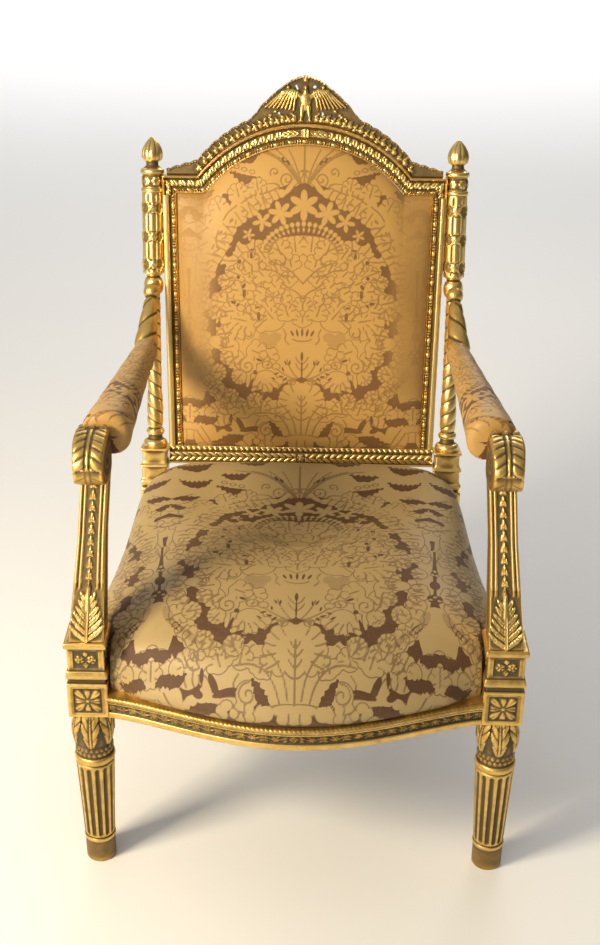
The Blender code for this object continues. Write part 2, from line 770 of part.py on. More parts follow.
def make_arm():
    rings = []
    end = Vector((-rail_back_x, ARM_COLLAR_Y + 0.006, collar_z + 0.008))
    axis = (end - ball_centre).normalized()
    up = X_AXIS.cross(axis).normalized() * -1.0
    reach = (end - ball_centre).length
    for degrees in (-78, -48, -16, 16, 46):
        angle = math.radians(degrees)
        centre = ball_centre + axis * (ARM_BALL * math.sin(angle))
        size = ARM_BALL * math.cos(angle)
        rings.append(ring(centre, X_AXIS, up, size, size, count=12, phase=0.5))
    parts = 8
    turns = math.pi
    for share in steps(parts):
        centre = ball_centre + axis * blend(ARM_BALL * 0.95, reach, share)
        size = blend(0.0085, 0.0185, share ** 0.8) * ARM_BALL / 0.015
        lift = up.lerp(Z_AXIS, share ** 3).normalized()
        rings.append(ring(centre, X_AXIS, lift, size, size, 0.0, 4, 0.2 * size, turns * share, 12, 0.5))
    collar = ARM_COLLAR_HEIGHT / 2
    for y in (ARM_COLLAR_Y + 0.003, ARM_COLLAR_Y - 0.003):
        centre = Vector((-rail_back_x, y, collar_z))
        rings.append(ring(centre, X_AXIS, Z_AXIS, ARM_RAIL_WIDTH * 0.56, collar, 0.0, turn=turns, count=12, phase=0.5))
    for y in (ARM_COLLAR_Y - 0.003, KNUCKLE_BACK):
        centre = Vector((arm_centre_x(y), y, ARM_HEIGHT + 0.001 + ARM_RAIL_HEIGHT / 2))
        half = ARM_RAIL_WIDTH * 0.36
        rings.append(ring(centre, X_AXIS, Z_AXIS, half, ARM_RAIL_HEIGHT / 2 - 0.001, 1.0, 0, 0.0, turns, 12, 0.5))
    depth = KNUCKLE_BACK - KNUCKLE_FRONT
    for share in (0.0, 0.22, 0.5, 0.74, 0.9, 0.98):
        y = KNUCKLE_BACK - depth * share
        full = math.sqrt(1 - share ** 2.4)
        low = ARM_HEIGHT + KNUCKLE_HEIGHT * max(0.0, 0.46 * (1 - math.sqrt(max(0.0, 1 - max(0.0, share - 0.3) ** 2 * 1.9))))
        high = ARM_HEIGHT + KNUCKLE_HEIGHT * (0.46 + 0.54 * full)
        centre = Vector((-ARM_FRONT_X, y, (low + high) / 2))
        wide = KNUCKLE_WIDTH / 2 * (0.25 + 0.75 * full)
        rings.append(ring(centre, X_AXIS, Z_AXIS, wide, (high - low) / 2, 0.45, 0, 0.0, turns, 12, 0.5))
    arm = skin("arm_left", rings, gilt("arm_left"))
    shade(arm, 50.0)
    return arm


def make_arm_pad():
    """Half-round pad that grows towards the front, on top of the arm rail."""
    rings = []
    back = ARM_COLLAR_Y - 0.003 - GAP
    front = KNUCKLE_BACK + GAP
    for share in (0.0, 0.02, 0.15, 0.35, 0.58, 0.8, 0.97, 1.0):
        y = blend(back, front, share)
        radius = blend(ARM_PAD_BACK_RADIUS, ARM_PAD_FRONT_RADIUS, share ** 1.15)
        if share in (0.0, 1.0):
            radius -= 0.003
        outer = arm_centre_x(y) - ARM_RAIL_WIDTH * 0.42 - 0.008 * share
        x = outer + radius
        middle = arm_rail_top + GAP + radius * blend(0.85, 0.86, share)
        points = []
        for index in range(12):
            angle = 2 * math.pi * (index + 0.5) / 12
            z = max(arm_rail_top + GAP, middle + radius * math.sin(angle))
            points.append(Vector((x + radius * math.cos(angle), y, z)))
        rings.append(points)
    pad = skin("arm_pad_left", rings, damask("arm_pad_left"))
    shade(pad, 50.0)
    return pad


def make_support():
    """Leaning upright with two reeds each side of a raised centre and a leaf at its foot."""
    low = corner_top + GAP
    high = ARM_HEIGHT - GAP
    rings = []
    for share in steps(9):
        x = -blend(leg_x - 0.0025, ARM_FRONT_X + 0.001, share)
        front = SUPPORT_FOOT_FRONT + SUPPORT_LEAN * share ** 1.15
        half = blend(SUPPORT_FOOT_WIDTH, SUPPORT_HEAD_WIDTH, min(1.0, share * 1.6)) / 2
        leaf = max(0.0, 1 - share / 0.42)
        husk = 0.0035 * (0.6 + 0.4 * math.cos(share * 9 * math.pi))
        points = []
        outline = [(-1.0, 0.0), (-0.72, 0.0025), (-0.50, 0.0), (-0.28, husk), (0.0, husk + 0.0015)]
        outline += [(0.28, husk), (0.50, 0.0), (0.72, 0.0025), (1.0, 0.0)]
        for side, out in outline:
            raised = 0.0045 * bulge(min(1.0, leaf * 1.2)) * (1 - abs(side)) if leaf > 0 else 0.0
            points.append(Vector((x + half * side, front - out - raised, blend(low, high, share))))
        depth = blend(SUPPORT_DEPTH, SUPPORT_DEPTH * 0.96, share)
        points.append(Vector((x + half, front + depth, blend(low, high, share))))
        points.append(Vector((x - half, front + depth, blend(low, high, share))))
        rings.append(points)
    support = skin("arm_support_left", rings, gilt("arm_support_left"))
    shade(support)
    return support


def centre_on_floor():
    """Puts the middle of the chair's footprint at the origin, with the feet on Z = 0."""
    points = [vertex.co for item in throne.objects for vertex in item.data.vertices]
    middle = (min(point.y for point in points) + max(point.y for point in points)) / 2
    drop = min(point.z for point in points)
    for item in throne.objects:
        item.data.transform(Matrix.Translation((0.0, -middle, -drop)))


for leftover in list(bpy.data.objects):
    bpy.data.objects.remove(leftover)
throne = bpy.data.collections.new("throne")
cutters = bpy.data.collections.new("cutters")
bpy.context.scene.collection.children.link(throne)
bpy.context.scene.collection.children.link(cutters)

rods = post_cutters()
pairs = [make_front_leg(), make_post(), make_side_rail(), make_stile(rods), make_arm(), make_support()]
for left in pairs:
    right_name = left.name.replace("_left", "_right")
    mirrored(left, right_name, gilt(right_name))
mirrored(make_arm_pad(), "arm_pad_right", damask("arm_pad_right"))
make_front_rail()
make_back_rail()
make_seat()
make_top_rail(rods)
make_bottom_rail()
make_back_pad()
make_back_cover()
make_crest()
centre_on_floor()
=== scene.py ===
"""Looks of the carved and gilded throne: fine carving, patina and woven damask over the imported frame."""

import math

import bpy
import numpy as np
from mathutils import Matrix, Vector

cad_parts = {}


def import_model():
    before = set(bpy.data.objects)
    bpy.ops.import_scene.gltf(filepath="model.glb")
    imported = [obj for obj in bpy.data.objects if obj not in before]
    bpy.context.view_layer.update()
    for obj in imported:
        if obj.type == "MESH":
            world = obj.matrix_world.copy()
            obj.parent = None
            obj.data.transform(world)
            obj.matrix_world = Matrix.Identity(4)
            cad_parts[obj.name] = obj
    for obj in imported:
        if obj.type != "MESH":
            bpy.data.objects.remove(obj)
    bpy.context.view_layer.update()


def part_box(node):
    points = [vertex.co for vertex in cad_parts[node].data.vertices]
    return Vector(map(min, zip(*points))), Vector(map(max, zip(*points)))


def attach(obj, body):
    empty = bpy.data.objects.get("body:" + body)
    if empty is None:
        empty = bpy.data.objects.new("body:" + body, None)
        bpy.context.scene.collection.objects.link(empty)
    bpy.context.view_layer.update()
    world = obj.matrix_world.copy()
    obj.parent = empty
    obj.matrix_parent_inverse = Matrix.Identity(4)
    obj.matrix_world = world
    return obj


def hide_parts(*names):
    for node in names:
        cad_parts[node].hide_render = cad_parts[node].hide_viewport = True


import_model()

# The sizes of the model that the frame was packed from, in metres. Left is -X and the front faces -Y.
GAP = 0.0003
LEG_X = 0.3235
LEG_Y = 0.032
LEG_HEIGHT = 0.303
BLOCK = 0.064
BLOCK_HEIGHT = 0.0635
POST_X = 0.270
RAIL_TOP = 0.347
RAIL_HEIGHT = 0.044
RAIL_THICKNESS = 0.030
CORNER_TOP = 0.4418
ARM_HEIGHT = 0.690
RAKE = math.radians(12.23)
BACK_FOOT = (0.0, 0.541, 0.4786)
POST_SET_BACK = 0.010
PLINTH = 0.053
PLINTH_DROP = 0.033

# The frame's own middle is MIDDLE behind the front faces of the corner blocks.
FRONT_RAIL_FRONT = -0.082
MIDDLE = FRONT_RAIL_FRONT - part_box("seat_rail_front")[0][1]

TURN = 2 * math.pi
UP = np.array((0.0, math.sin(RAKE), math.cos(RAKE)))
OUT = np.array((0.0, -math.cos(RAKE), math.sin(RAKE)))
EX, EY, EZ = np.eye(3)


def world(points):
    """From the construction's own origin to the frame's."""
    return np.asarray(points, float) - MIDDLE * EY


def at(x, y, z):
    """Points from coordinates that are numbers or arrays of one shape."""
    return np.stack(np.broadcast_arrays(*(np.asarray(value, float) for value in (x, y, z))), axis=-1)


def back_point(x, rise, out):
    """Points of the leaning back: across, up its lean, and out towards the front."""
    x, rise, out = (np.asarray(value, float)[..., None] for value in (x, rise, out))
    return np.array(BACK_FOOT) + x * EX + rise * UP + out * OUT


# Small height functions that the carving is made from.

def unit(value):
    return np.clip(value, 0, 1)


def soft(value):
    value = unit(value)
    return value * value * (3 - 2 * value)


def window(value, low, high, ease=0.001):
    """1 between low and high, with a soft step of width ease inside both."""
    return soft((value - low) / ease) * soft((high - value) / ease)


def bell(value, width):
    return np.exp(-(value / width) ** 2)


def dome(distance):
    return np.sqrt(unit(1 - distance * distance))


def cell(along, pitch):
    """Distance to the nearest repeat."""
    return along - np.round(along / pitch) * pitch


def turns(theta, count):
    """Place in one of count equal parts of a turn, from -0.5 to 0.5."""
    return cell(theta * count / TURN, 1.0)


def ropes(wave):
    """Distance from the middle of a strand, 0 to 1, where each strand is 1 long."""
    return np.abs(wave % 1 - 0.5) * 2


def run_length(points, axis=0):
    """Distance along lines of points."""
    steps = np.linalg.norm(np.diff(points, axis=axis), axis=-1)
    zero = np.zeros_like(np.take(steps, [0], axis=axis))
    return np.concatenate([zero, np.cumsum(steps, axis=axis)], axis=axis)


def blur(values, across, along, wrap):
    """Box blur of a grid, carried straight on past its open edges."""
    for axis, reach, closed in ((1, across, wrap), (0, along, False)):
        for _ in range(2):
            margin = [(0, 0)] * values.ndim
            margin[axis] = (reach, reach)
            style = {"mode": "wrap"} if closed else {"mode": "reflect", "reflect_type": "odd"}
            total = np.cumsum(np.pad(values, margin, **style), axis=axis)
            total = np.concatenate([np.zeros_like(np.take(total, [0], axis=axis)), total], axis=axis)
            span, count = 2 * reach + 1, values.shape[axis]
            high, low = (np.take(total, range(first, first + count), axis=axis) for first in (span, 0))
            values = (high - low) / span
    return values


def normals(points, wrap):
    across = np.roll(points, -1, 1) - np.roll(points, 1, 1) if wrap else np.gradient(points, axis=1)
    result = np.cross(across, np.gradient(points, axis=0))
    return result / (np.linalg.norm(result, axis=2, keepdims=True) + 1e-12)


class Piece:
    """Collects grids of points into one mesh, with a patina value at each point."""

    def __init__(self):
        self.points, self.quads, self.fans = [], [], []
        self.fields = {}
        self.flat_face = None
        self.count = 0

    def add(self, points, patina, fields=None):
        """Adds points with their patina and other named values; gives the number of the first."""
        start = self.count
        self.points.append(points.reshape(-1, 3))
        for name, values in {"patina": patina, **(fields or {})}.items():
            self.fields.setdefault(name, []).append((start, np.asarray(values, float).reshape(-1)))
        self.count += len(self.points[-1])
        return start

    def grid(self, base, height=0.0, wrap=True, flip=False, ground=0.0, scale=0.0006):
        """A grid moved out by height along its normals; hollows and ground take the patina."""
        out = normals(base, wrap) * (-1.0 if flip else 1.0)
        moved = base + out * (np.zeros(base.shape[:2]) + height)[..., None]
        raised = np.sum((moved - blur(moved, 3, 3, wrap)) * out, axis=2)
        rows, columns = base.shape[:2]
        start = self.add(moved, unit(unit(0.42 - 0.5 * raised / scale) + ground))
        self.faces(start, rows, columns, wrap, flip)
        for row, turned in ((0, not flip), (rows - 1, flip)):
            self.cap(start + row * columns, moved[row], turned, 0.6)
        return self

    def cap(self, start, ring, turned, patina, fields=None):
        """Closes a ring of points that begins at start, with a fan about its middle."""
        loop = start + np.arange(len(ring))
        hub = np.full(len(ring), self.add(ring.mean(axis=0)[None, None], [patina], fields))
        after = np.roll(loop, -1)
        first, second = (after, loop) if turned else (loop, after)
        self.fans.append(np.stack([first, second, hub], axis=1))

    def faces(self, start, rows, columns, wrap, flip, keep=None):
        index = start + np.arange(rows * columns).reshape(rows, columns)
        if wrap:
            index = np.concatenate([index, index[:, :1]], axis=1)
        quads = np.stack([index[:-1, :-1], index[:-1, 1:], index[1:, 1:], index[1:, :-1]],
                         axis=-1).reshape(-1, 4)
        if keep is not None:
            quads = quads[keep.reshape(-1)]
        self.quads.append(quads[:, ::-1] if flip else quads)

    def mirror(self):
        other = Piece()
        other.points = [points * (-1.0, 1.0, 1.0) for points in self.points]
        other.quads, other.fans = ([part[:, ::-1] for part in parts] for parts in (self.quads, self.fans))
        other.fields, other.count = self.fields, self.count
        return other

    def build(self, name, material, node, angle=45.0):
        """The mesh object that stands for one solid of the frame."""
        faces = [face for parts in (self.quads, self.fans) if parts
                 for face in np.concatenate(parts).tolist()]
        if self.flat_face:
            faces.append(self.flat_face)
        mesh = bpy.data.meshes.new(name)
        mesh.from_pydata(world(np.concatenate(self.points)).tolist(), [], faces)
        for key, runs in self.fields.items():
            values = np.zeros(self.count, np.float32)
            for start, run in runs:
                values[start:start + len(run)] = run
            mesh.attributes.new(key, "FLOAT", "POINT").data.foreach_set("value", values)
        mesh.shade_smooth()
        mesh.set_sharp_from_angle(angle=math.radians(angle))
        mesh.materials.append(material)
        item = bpy.data.objects.new(name, mesh)
        bpy.context.scene.collection.objects.link(item)
        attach(item, "root")
        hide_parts(node)
        return item


def build_pair(piece, node, material, name=None, **options):
    """The left piece and its mirror image on the right."""
    halves = ((piece, "left"), (piece.mirror(), "right"))
    name = name or f"carved_{node}"
    return [half.build(f"{name}_{side}", material, f"{node}_{side}", **options) for half, side in halves]


def resample(knots, step):
    """Points at even steps along a bent line, with its corners kept."""
    knots = np.array(knots, float)
    result = [knots[0]]
    for first, second in zip(knots, knots[1:]):
        count = max(1, math.ceil(np.linalg.norm(second - first) / step))
        result += [first + (second - first) * index / count for index in range(1, count + 1)]
    return np.array(result)


def bead(low, high, radius, swell, parts=10):
    """Knots of a half-round moulding."""
    return [(low + (high - low) * (0.5 - 0.5 * math.cos(math.pi * s)), radius + swell * math.sin(math.pi * s))
            for s in np.linspace(0, 1, parts + 1)]


def lathe(piece, knots, place, relief=None, count=96, step=0.0012, **options):
    """Turned body with relief(angle, height, radius) on it; place gives centre, across and deep axes."""
    line = resample(knots, step)
    theta, height = np.meshgrid(np.linspace(0, TURN, count, endpoint=False), line[:, 0])
    radius = np.broadcast_to(line[:, 1][:, None], theta.shape)
    centre, across, deep = place(height)
    base = centre + (radius * np.cos(theta))[..., None] * across + (radius * np.sin(theta))[..., None] * deep
    carved, ground = relief(theta, height, radius) if relief else (0.0, 0.0)
    return piece.grid(base, carved, ground=ground, **options)


def square(piece, knots, place, relief=None, counts=(40, 40, 40, 40), step=0.0012, round_edge=0.0012):
    """Square body with relief(side, along, height, half) on its faces; side 0 faces the front."""
    line = resample(knots, step)
    bend = math.pi / 2 * 0.62
    side = np.repeat(np.arange(4), counts)
    ease = np.concatenate([np.linspace(-1, 1, count, endpoint=False) + 1.0 / count for count in counts])
    side, height = np.meshgrid(side, line[:, 0])
    share = np.broadcast_to(np.sin(ease * bend) / math.sin(bend), side.shape)
    half = np.broadcast_to(line[:, 1][:, None], side.shape)
    corner = 1 - round_edge / np.maximum(half, 1e-4) * 0.45 * soft((np.abs(share) - 0.93) / 0.07)
    q, edge = share * half, half * corner
    x = np.choose(side, [q, edge, -q, -edge])
    y = np.choose(side, [-edge, q, edge, -q])
    centre, across, deep = place(height)
    base = centre + x[..., None] * across + y[..., None] * deep
    carved, ground = relief(side, q, height, half) if relief else (0.0, 0.0)
    return piece.grid(base, carved, ground=ground)


def rosette(x, y, radius, petals=8, corner=0.0):
    """Leafy rosette: petals with a crease, and a raised button."""
    far = np.hypot(x, y) / radius
    turn = np.arctan2(y, x)
    across = 1 - ropes(turn * petals / TURN)
    shape = far / (1 + corner * np.abs(np.sin(2 * turn)) ** 1.5)
    swell = np.sin(unit(shape) * math.pi)
    petal = dome(unit(across) / (0.18 + 0.82 * swell ** 0.6)) * (shape < 1) * soft((1 - shape) / 0.16)
    crease = 0.35 * bell(across, 0.10) * soft((shape - 0.25) / 0.2)
    return np.maximum(petal * (0.55 + 0.45 * swell - crease), 1.15 * dome(far / 0.20))


# Materials.

def feed(tree, node, inputs):
    """Gives each input a constant, or the output of another node."""
    for key, value in inputs.items():
        if isinstance(value, bpy.types.NodeSocket):
            tree.links.new(value, node.inputs[key])
        else:
            node.inputs[key].default_value = value


def add_node(tree, kind, inputs=None, **settings):
    node = tree.nodes.new(kind)
    for key, value in settings.items():
        setattr(node, key, value)
    feed(tree, node, inputs or {})
    return node


def nodes_of(name):
    material = bpy.data.materials.new(name)
    material.use_nodes = True
    return material, material.node_tree, material.node_tree.nodes["Principled BSDF"]


def attribute(tree, name):
    return add_node(tree, "ShaderNodeAttribute", attribute_name=name).outputs["Fac"]


def noise(tree, scale, detail=3.0, rough=0.55, stretch=None):
    place = add_node(tree, "ShaderNodeTexCoord").outputs["Object"]
    if stretch:
        place = add_node(tree, "ShaderNodeMapping", {"Vector": place, "Scale": stretch}).outputs["Vector"]
    inputs = {"Vector": place, "Scale": scale, "Detail": detail, "Roughness": rough}
    return add_node(tree, "ShaderNodeTexNoise", inputs).outputs["Fac"]


def math_node(tree, operation, *values, clamp=False):
    inputs = dict(enumerate(values))
    return add_node(tree, "ShaderNodeMath", inputs, operation=operation, use_clamp=clamp).outputs[0]


def ramp(tree, value, stops):
    node = add_node(tree, "ShaderNodeValToRGB", {"Fac": value})
    band = node.color_ramp
    while len(band.elements) < len(stops):
        band.elements.new(0.5)
    for element, (place, colour) in zip(band.elements, stops):
        element.position = place
        element.color = (*colour, 1.0)
    return node.outputs["Color"]


def mix_colour(tree, share, first, second):
    """The first colour where share is 0, the second where it is 1."""
    node = add_node(tree, "ShaderNodeMix", {0: share}, data_type="RGBA")
    inputs, outputs = ([socket for socket in ends if socket.type == "RGBA"]
                       for ends in (node.inputs, node.outputs))
    for socket, colour in zip(inputs, (first, second)):
        socket.default_value = (*colour, 1.0)
    return outputs[0]


def bumped(tree, relief, strength, distance):
    inputs = {"Strength": strength, "Distance": distance, "Height": relief}
    return add_node(tree, "ShaderNodeBump", inputs).outputs["Normal"]


def gilding(name, shade):
    """Burnished gold on what stands out, thinner and browner gold with olive patina in what lies back."""
    material, tree, shader = nodes_of(name)
    wear = noise(tree, 60.0, 5.0, 0.65)
    # shade moves the whole copy towards the dark end of the ramp, and below zero towards the bright end:
    # painted shade and painted light.
    cloud = math_node(tree, "MULTIPLY_ADD", noise(tree, 14.0), 0.34, shade - 0.17)
    amount = math_node(tree, "ADD", math_node(tree, "MULTIPLY_ADD", wear, 0.60, -0.30), cloud)
    amount = math_node(tree, "ADD", attribute(tree, "patina"), amount, clamp=True)
    golds = [(0.0, (0.92, 0.67, 0.25)), (0.26, (0.74, 0.485, 0.14)), (0.46, (0.45, 0.285, 0.078)),
             (0.68, (0.27, 0.172, 0.055)), (0.86, (0.17, 0.115, 0.045)), (1.0, (0.105, 0.078, 0.036))]
    metals = [(place, (share,) * 3) for place, share in ((0.0, 0.95), (0.55, 0.85), (0.95, 0.45))]
    rough = math_node(tree, "MULTIPLY_ADD", amount, 0.26, 0.24)
    grain = math_node(tree, "MULTIPLY_ADD", noise(tree, 70.0), 0.8, noise(tree, 380.0, 4.0, 0.6))
    feed(tree, shader, {
        "Base Color": ramp(tree, amount, golds),
        "Metallic": ramp(tree, amount, metals),
        "Roughness": math_node(tree, "MULTIPLY_ADD", wear, 0.12, rough),
        "Normal": bumped(tree, grain, 0.40, 0.0008),
    })
    return material


# The three copies differ only in shade. The lightest paints light on the upper frame, posts and arm supports.
# The darkest paints shade on the front legs, seat rails and arms. The crest's copy lies between them.
gold = gilding("gilding", -0.10)
gold_crest = gilding("gilding_crest", 0.10)
gold_painted_shade = gilding("gilding_painted_shade", 0.25)


# Front legs.

def leg_relief(theta, z, radius):
    """Shaft with round-ended flutes, two rows of berries, and a bulb of six leaves."""
    flutes, berries = 14, 22
    across = ((theta + math.pi / 2) * flutes / TURN % 1 - 0.5) * TURN * radius / flutes
    slot = np.hypot(across, np.maximum(0, np.maximum(0.058 - z, z - 0.194))) / 0.0034
    height = -0.0032 * dome(slot)
    ground = 0.42 * (slot < 1.0) * soft((1 - slot) / 0.35)
    for level, shift, size in ((0.2245, 0.0, 0.0036), (0.2325, 0.5, 0.0030)):
        spot = cell(theta * berries / TURN + shift, 1.0) * TURN * radius / berries
        height += 0.0020 * dome(np.hypot(spot, z - level) / size)
    ground += 0.22 * (np.abs(z - 0.2285) < 0.009)
    bulb = window(z, 0.2385, 0.3035, 0.004)
    side = np.abs(turns(theta + math.pi / 2, 6)) * 2
    rise = unit((z - 0.2385) / 0.0625)
    wave = rise * 3.6 - side * 1.1
    lobe = (wave + 0.15) % 1
    edge = unit(0.34 + 0.66 * np.sin(rise * math.pi * 0.56) ** 1.4)
    edge *= 1 - 0.16 * bell(lobe - 0.02, 0.12) - 0.16 * bell(lobe - 0.98, 0.12)
    inside = side < edge
    body = dome(unit(side / edge)) ** 0.4
    ridge = dome((lobe - 0.5) * 1.9)
    fine = 0.5 + 0.5 * np.cos(wave * TURN * 3)
    stem = bell(side, 0.085) * (1 - 0.5 * rise)
    curl = bell(rise - 0.80, 0.10) * (side < 0.5)
    height += bulb * inside * (0.0016 * body + 0.0021 * ridge * unit(side * 3) * (0.35 + rise)
                               + 0.0004 * fine)
    height += bulb * (0.0018 * stem + 0.0012 * curl - 0.0010 * bell(side - 0.17, 0.05))
    ground += bulb * (0.30 * (~inside) + 0.18 * (1 - ridge) * inside * (side > 0.12))
    shoe = z < 0.041
    height += 0.00022 * shoe * np.sin(theta * 48) * np.sin(z * 1900)
    return height, ground + 0.30 * shoe


def block_relief(side, q, z, half):
    """Corner block: a rosette in a sunk square below, small flowers in a sunk panel above."""
    off = z - (LEG_HEIGHT + BLOCK_HEIGHT / 2)
    x, far = np.abs(q), np.maximum(np.abs(q), np.abs(off))
    reach = 0.0228
    inside = soft((reach - far) / 0.0012)
    flower = np.maximum(rosette(q, off, 0.0212, 8, 0.36), 0.55 * rosette(q, off, 0.0170, 16, 0.20)) * inside
    height = 0.0036 * flower - 0.0022 * inside - 0.0005 * bell(far - reach - 0.0022, 0.0007) * (z < 0.366)
    ground = 0.26 * inside * (flower < 0.16)
    off = z - 0.4100
    inside = soft((0.0195 - x) / 0.001) * soft((0.0158 - np.abs(off)) / 0.001) * (z > 0.38)
    four = np.maximum(rosette(x - 0.0095, off, 0.0085, 5), 0.8 * rosette(q, np.abs(off) - 0.0100, 0.0052, 4))
    height += inside * (0.0030 * four - 0.0018)
    ground += 0.26 * inside * (four < 0.15) + 0.30 * (z > 0.3662) * (z < 0.3748)
    return height, ground


def leg_axis(z):
    return at(-LEG_X, LEG_Y, z), EX, EY


def make_front_leg():
    piece = Piece()
    knots = [(0.0, 0.0210), (0.0, 0.0236), (0.0012, 0.0244), (0.0405, 0.0246)]
    knots += bead(0.0415, 0.0490, 0.0243, 0.0018)
    knots += [(0.0500, 0.0238), (0.0530, 0.0250), (0.1980, 0.0312), (0.2010, 0.0306), (0.2025, 0.0290)]
    knots += bead(0.2035, 0.2170, 0.0292, 0.0038)
    knots += [(0.2180, 0.0286), (0.2200, 0.0292), (0.2370, 0.0288), (0.2385, 0.0282)]
    knots += [(0.2390 + 0.0620 * s, 0.0285 + 0.0040 * math.sin(math.pi * min(1.0, s * 1.25))
               - 0.0052 * s ** 3)
              for s in np.linspace(0, 1, 24)]
    lathe(piece, knots + [(0.3040, 0.0225)], leg_axis, leg_relief, count=126, step=0.0020)
    half = BLOCK / 2
    knots = [(0.303, 0.020), (0.303, half - 0.0012), (0.3042, half), (0.3653, half), (0.3665, half - 0.0010)]
    shares = [(0.3665, 0.90), (0.3748, 0.90), (0.3750, 0.98), (0.3768, 1.02), (0.3800, 1.03), (0.3845, 1.00)]
    shares += [(0.3885, 0.955), (0.3895, 0.90), (0.4300, 0.90), (0.4305, 0.96)]
    shares += bead(0.4306, 0.4412, 0.97, 0.075)
    knots += [(z, half * share) for z, share in shares + [(CORNER_TOP, 0.95)]] + [(CORNER_TOP, 0.020)]
    return square(piece, knots, leg_axis, block_relief, counts=(36, 36, 8, 30), step=0.0017)


# Back posts with their plinths and raked legs.

POST_BLOCK_Y = float(back_point(0.0, -PLINTH_DROP, -POST_SET_BACK)[1])


def post_axis(rise):
    return back_point(np.full(rise.shape, -POST_X), rise, -POST_SET_BACK), EX, -OUT


def back_leg_axis(z):
    drop = np.maximum(0.0, 1 - z / LEG_HEIGHT)
    return at(-POST_X, POST_BLOCK_Y + 0.070 * drop ** 1.4, z), EX, EY


def post_relief(theta, rise, radius):
    """Twisted column, reeds under flowered ribbons, a ring of rosettes, and the finial's petals."""
    foot = 0.0685
    inside = window(rise, foot, 0.309, 0.003)
    strand = ropes(theta * 2 / TURN + (rise - foot) / 0.0235)
    height = inside * 0.0021 * (dome(strand * 0.98) - 0.45)
    ground = inside * 0.30 * soft((strand - 0.72) / 0.2)
    inside = window(rise, 0.353, 0.4945, 0.002)
    lobe = dome(turns(theta, 8) * 2 * 1.02)
    flat = turns(theta, 4) * TURN * radius / 4
    bands, tied = np.zeros_like(rise), np.zeros_like(rise)
    for middle in (0.3695, 0.4185, 0.4690):
        away = rise - middle
        near = soft((0.0105 - np.abs(away)) / 0.0012)
        cross = bell(np.abs(flat) - 0.9 * np.abs(away) - 0.0015, 0.0016)
        bands = np.maximum(bands, near)
        tied = np.maximum(tied, near * np.maximum(rosette(flat, away, 0.0098, 5), 0.7 * cross))
    height += inside * ((1 - bands) * 0.0024 * (lobe - 0.8) + bands * (0.0030 * tied - 0.0012))
    ground += inside * ((1 - bands) * 0.32 * (lobe < 0.42) + bands * 0.35 * (tied < 0.2))
    inside = window(rise, 0.5055, 0.5265)
    flower = rosette(turns(theta, 6) * TURN * radius / 6, rise - 0.516, 0.0092, 6)
    height += inside * (0.0026 * flower - 0.0012)
    ground += inside * 0.4 * (flower < 0.2)
    inside = soft((rise - 0.5505) / 0.002) * soft((0.5890 - rise) / 0.004)
    lobe = dome(turns(theta, 9) * 2)
    height += inside * 0.0024 * (lobe - 0.75) * unit(radius / 0.016)
    ground += inside * 0.30 * (lobe < 0.45)
    return height, ground


def back_leg_relief(side, q, z, half):
    """Sunk panels on both blocks, and one outlined panel down the leg."""
    across = np.abs(q)
    inside = soft((0.0165 - across) / 0.001)
    panel = np.maximum(soft((0.0240 - np.abs(z - 0.3335)) / 0.001),
                       soft((0.0270 - np.abs(z - 0.4070)) / 0.001))
    ring = soft((0.0100 - across) / 0.001) * window(z, 0.030, 0.280, 0.01)
    ring = ring * (1 - soft((0.0085 - across) / 0.001))
    return -0.0015 * inside * panel - 0.0010 * ring, 0.10 + 0.15 * ring


def make_post():
    piece = Piece()
    knots = [(0.0270, 0.0190)] + bead(0.0290, 0.0440, 0.0180, 0.0042) + [(0.0465, 0.0135), (0.0520, 0.0125)]
    knots += bead(0.0530, 0.0650, 0.0125, 0.0043) + [(0.0670, 0.0122)]
    knots += [(0.0690 + 0.2390 * s, 0.0125 + 0.0018 * math.sin(math.pi * min(1.0, s * 3 + 0.12)) - 0.0014 * s)
              for s in np.linspace(0, 1, 20)]
    knots += [(0.3105, 0.0118), (0.3130, 0.0112)] + bead(0.3150, 0.3450, 0.0115, 0.0062, 16)
    knots += [(0.3465, 0.0120), (0.3500, 0.0155), (0.3525, 0.0185), (0.4950, 0.0185)]
    knots += bead(0.4960, 0.5040, 0.0183, 0.0022) + [(0.5050, 0.0182), (0.5270, 0.0182)]
    knots += bead(0.5280, 0.5370, 0.0186, 0.0028) + [(0.5390, 0.0150), (0.5430, 0.0108), (0.5480, 0.0105)]
    knots += [(0.5495, 0.0135), (0.5525, 0.0166), (0.5575, 0.0183), (0.5630, 0.0186), (0.5690, 0.0174),
              (0.5750, 0.0150)]
    knots += [(0.5805, 0.0118), (0.5855, 0.0080), (0.5885, 0.0054), (0.5905, 0.0038), (0.5918, 0.0022),
              (0.5920, 0.0006)]
    lathe(piece, knots, post_axis, post_relief, count=64, step=0.0020, scale=0.0005)
    half = PLINTH / 2
    shares = [(-0.0380, 0.7), (-0.0380, 0.93), (-0.0345, 0.93), (-0.0335, 0.99), (-0.0320, 1),
              (-0.0300, 0.97)]
    shares += [(-0.0260, 0.88), (-0.0060, 0.88), (-0.0045, 0.92), (-0.0040, 0.99), (-0.0024, 1),
               (-0.0008, 0.99)]
    shares += [(0.0020, 0.90), (0.0060, 0.84), (0.0235, 0.84), (0.0260, 0.90), (0.0270, 0.985), (0.0290, 1)]
    shares += [(0.0302, 0.985), (0.0303, 0.6)]
    square(piece, [(rise, half * share) for rise, share in shares], post_axis, counts=(12, 12, 8, 12),
           step=0.0018)
    top = float(back_point(0.0, -PLINTH_DROP * 1.2, -POST_SET_BACK)[2])
    knots = [(0.0, 0.008), (0.0, 0.0150), (0.0060, 0.0160), (0.0900, 0.0185), (0.2000, 0.0215),
             (0.2800, 0.0228)]
    knots += [(0.2985, 0.0228), (0.3010, 0.0250), (0.3030, half), (0.3640, half), (0.3660, half * 0.96)]
    knots += [(0.3700, half * 0.96), (0.3720, half), (top - 0.004, half), (top, half * 0.94),
              (top, half * 0.5)]
    return square(piece, knots, back_leg_axis, back_leg_relief, counts=(14, 14, 14, 14), step=0.0040)


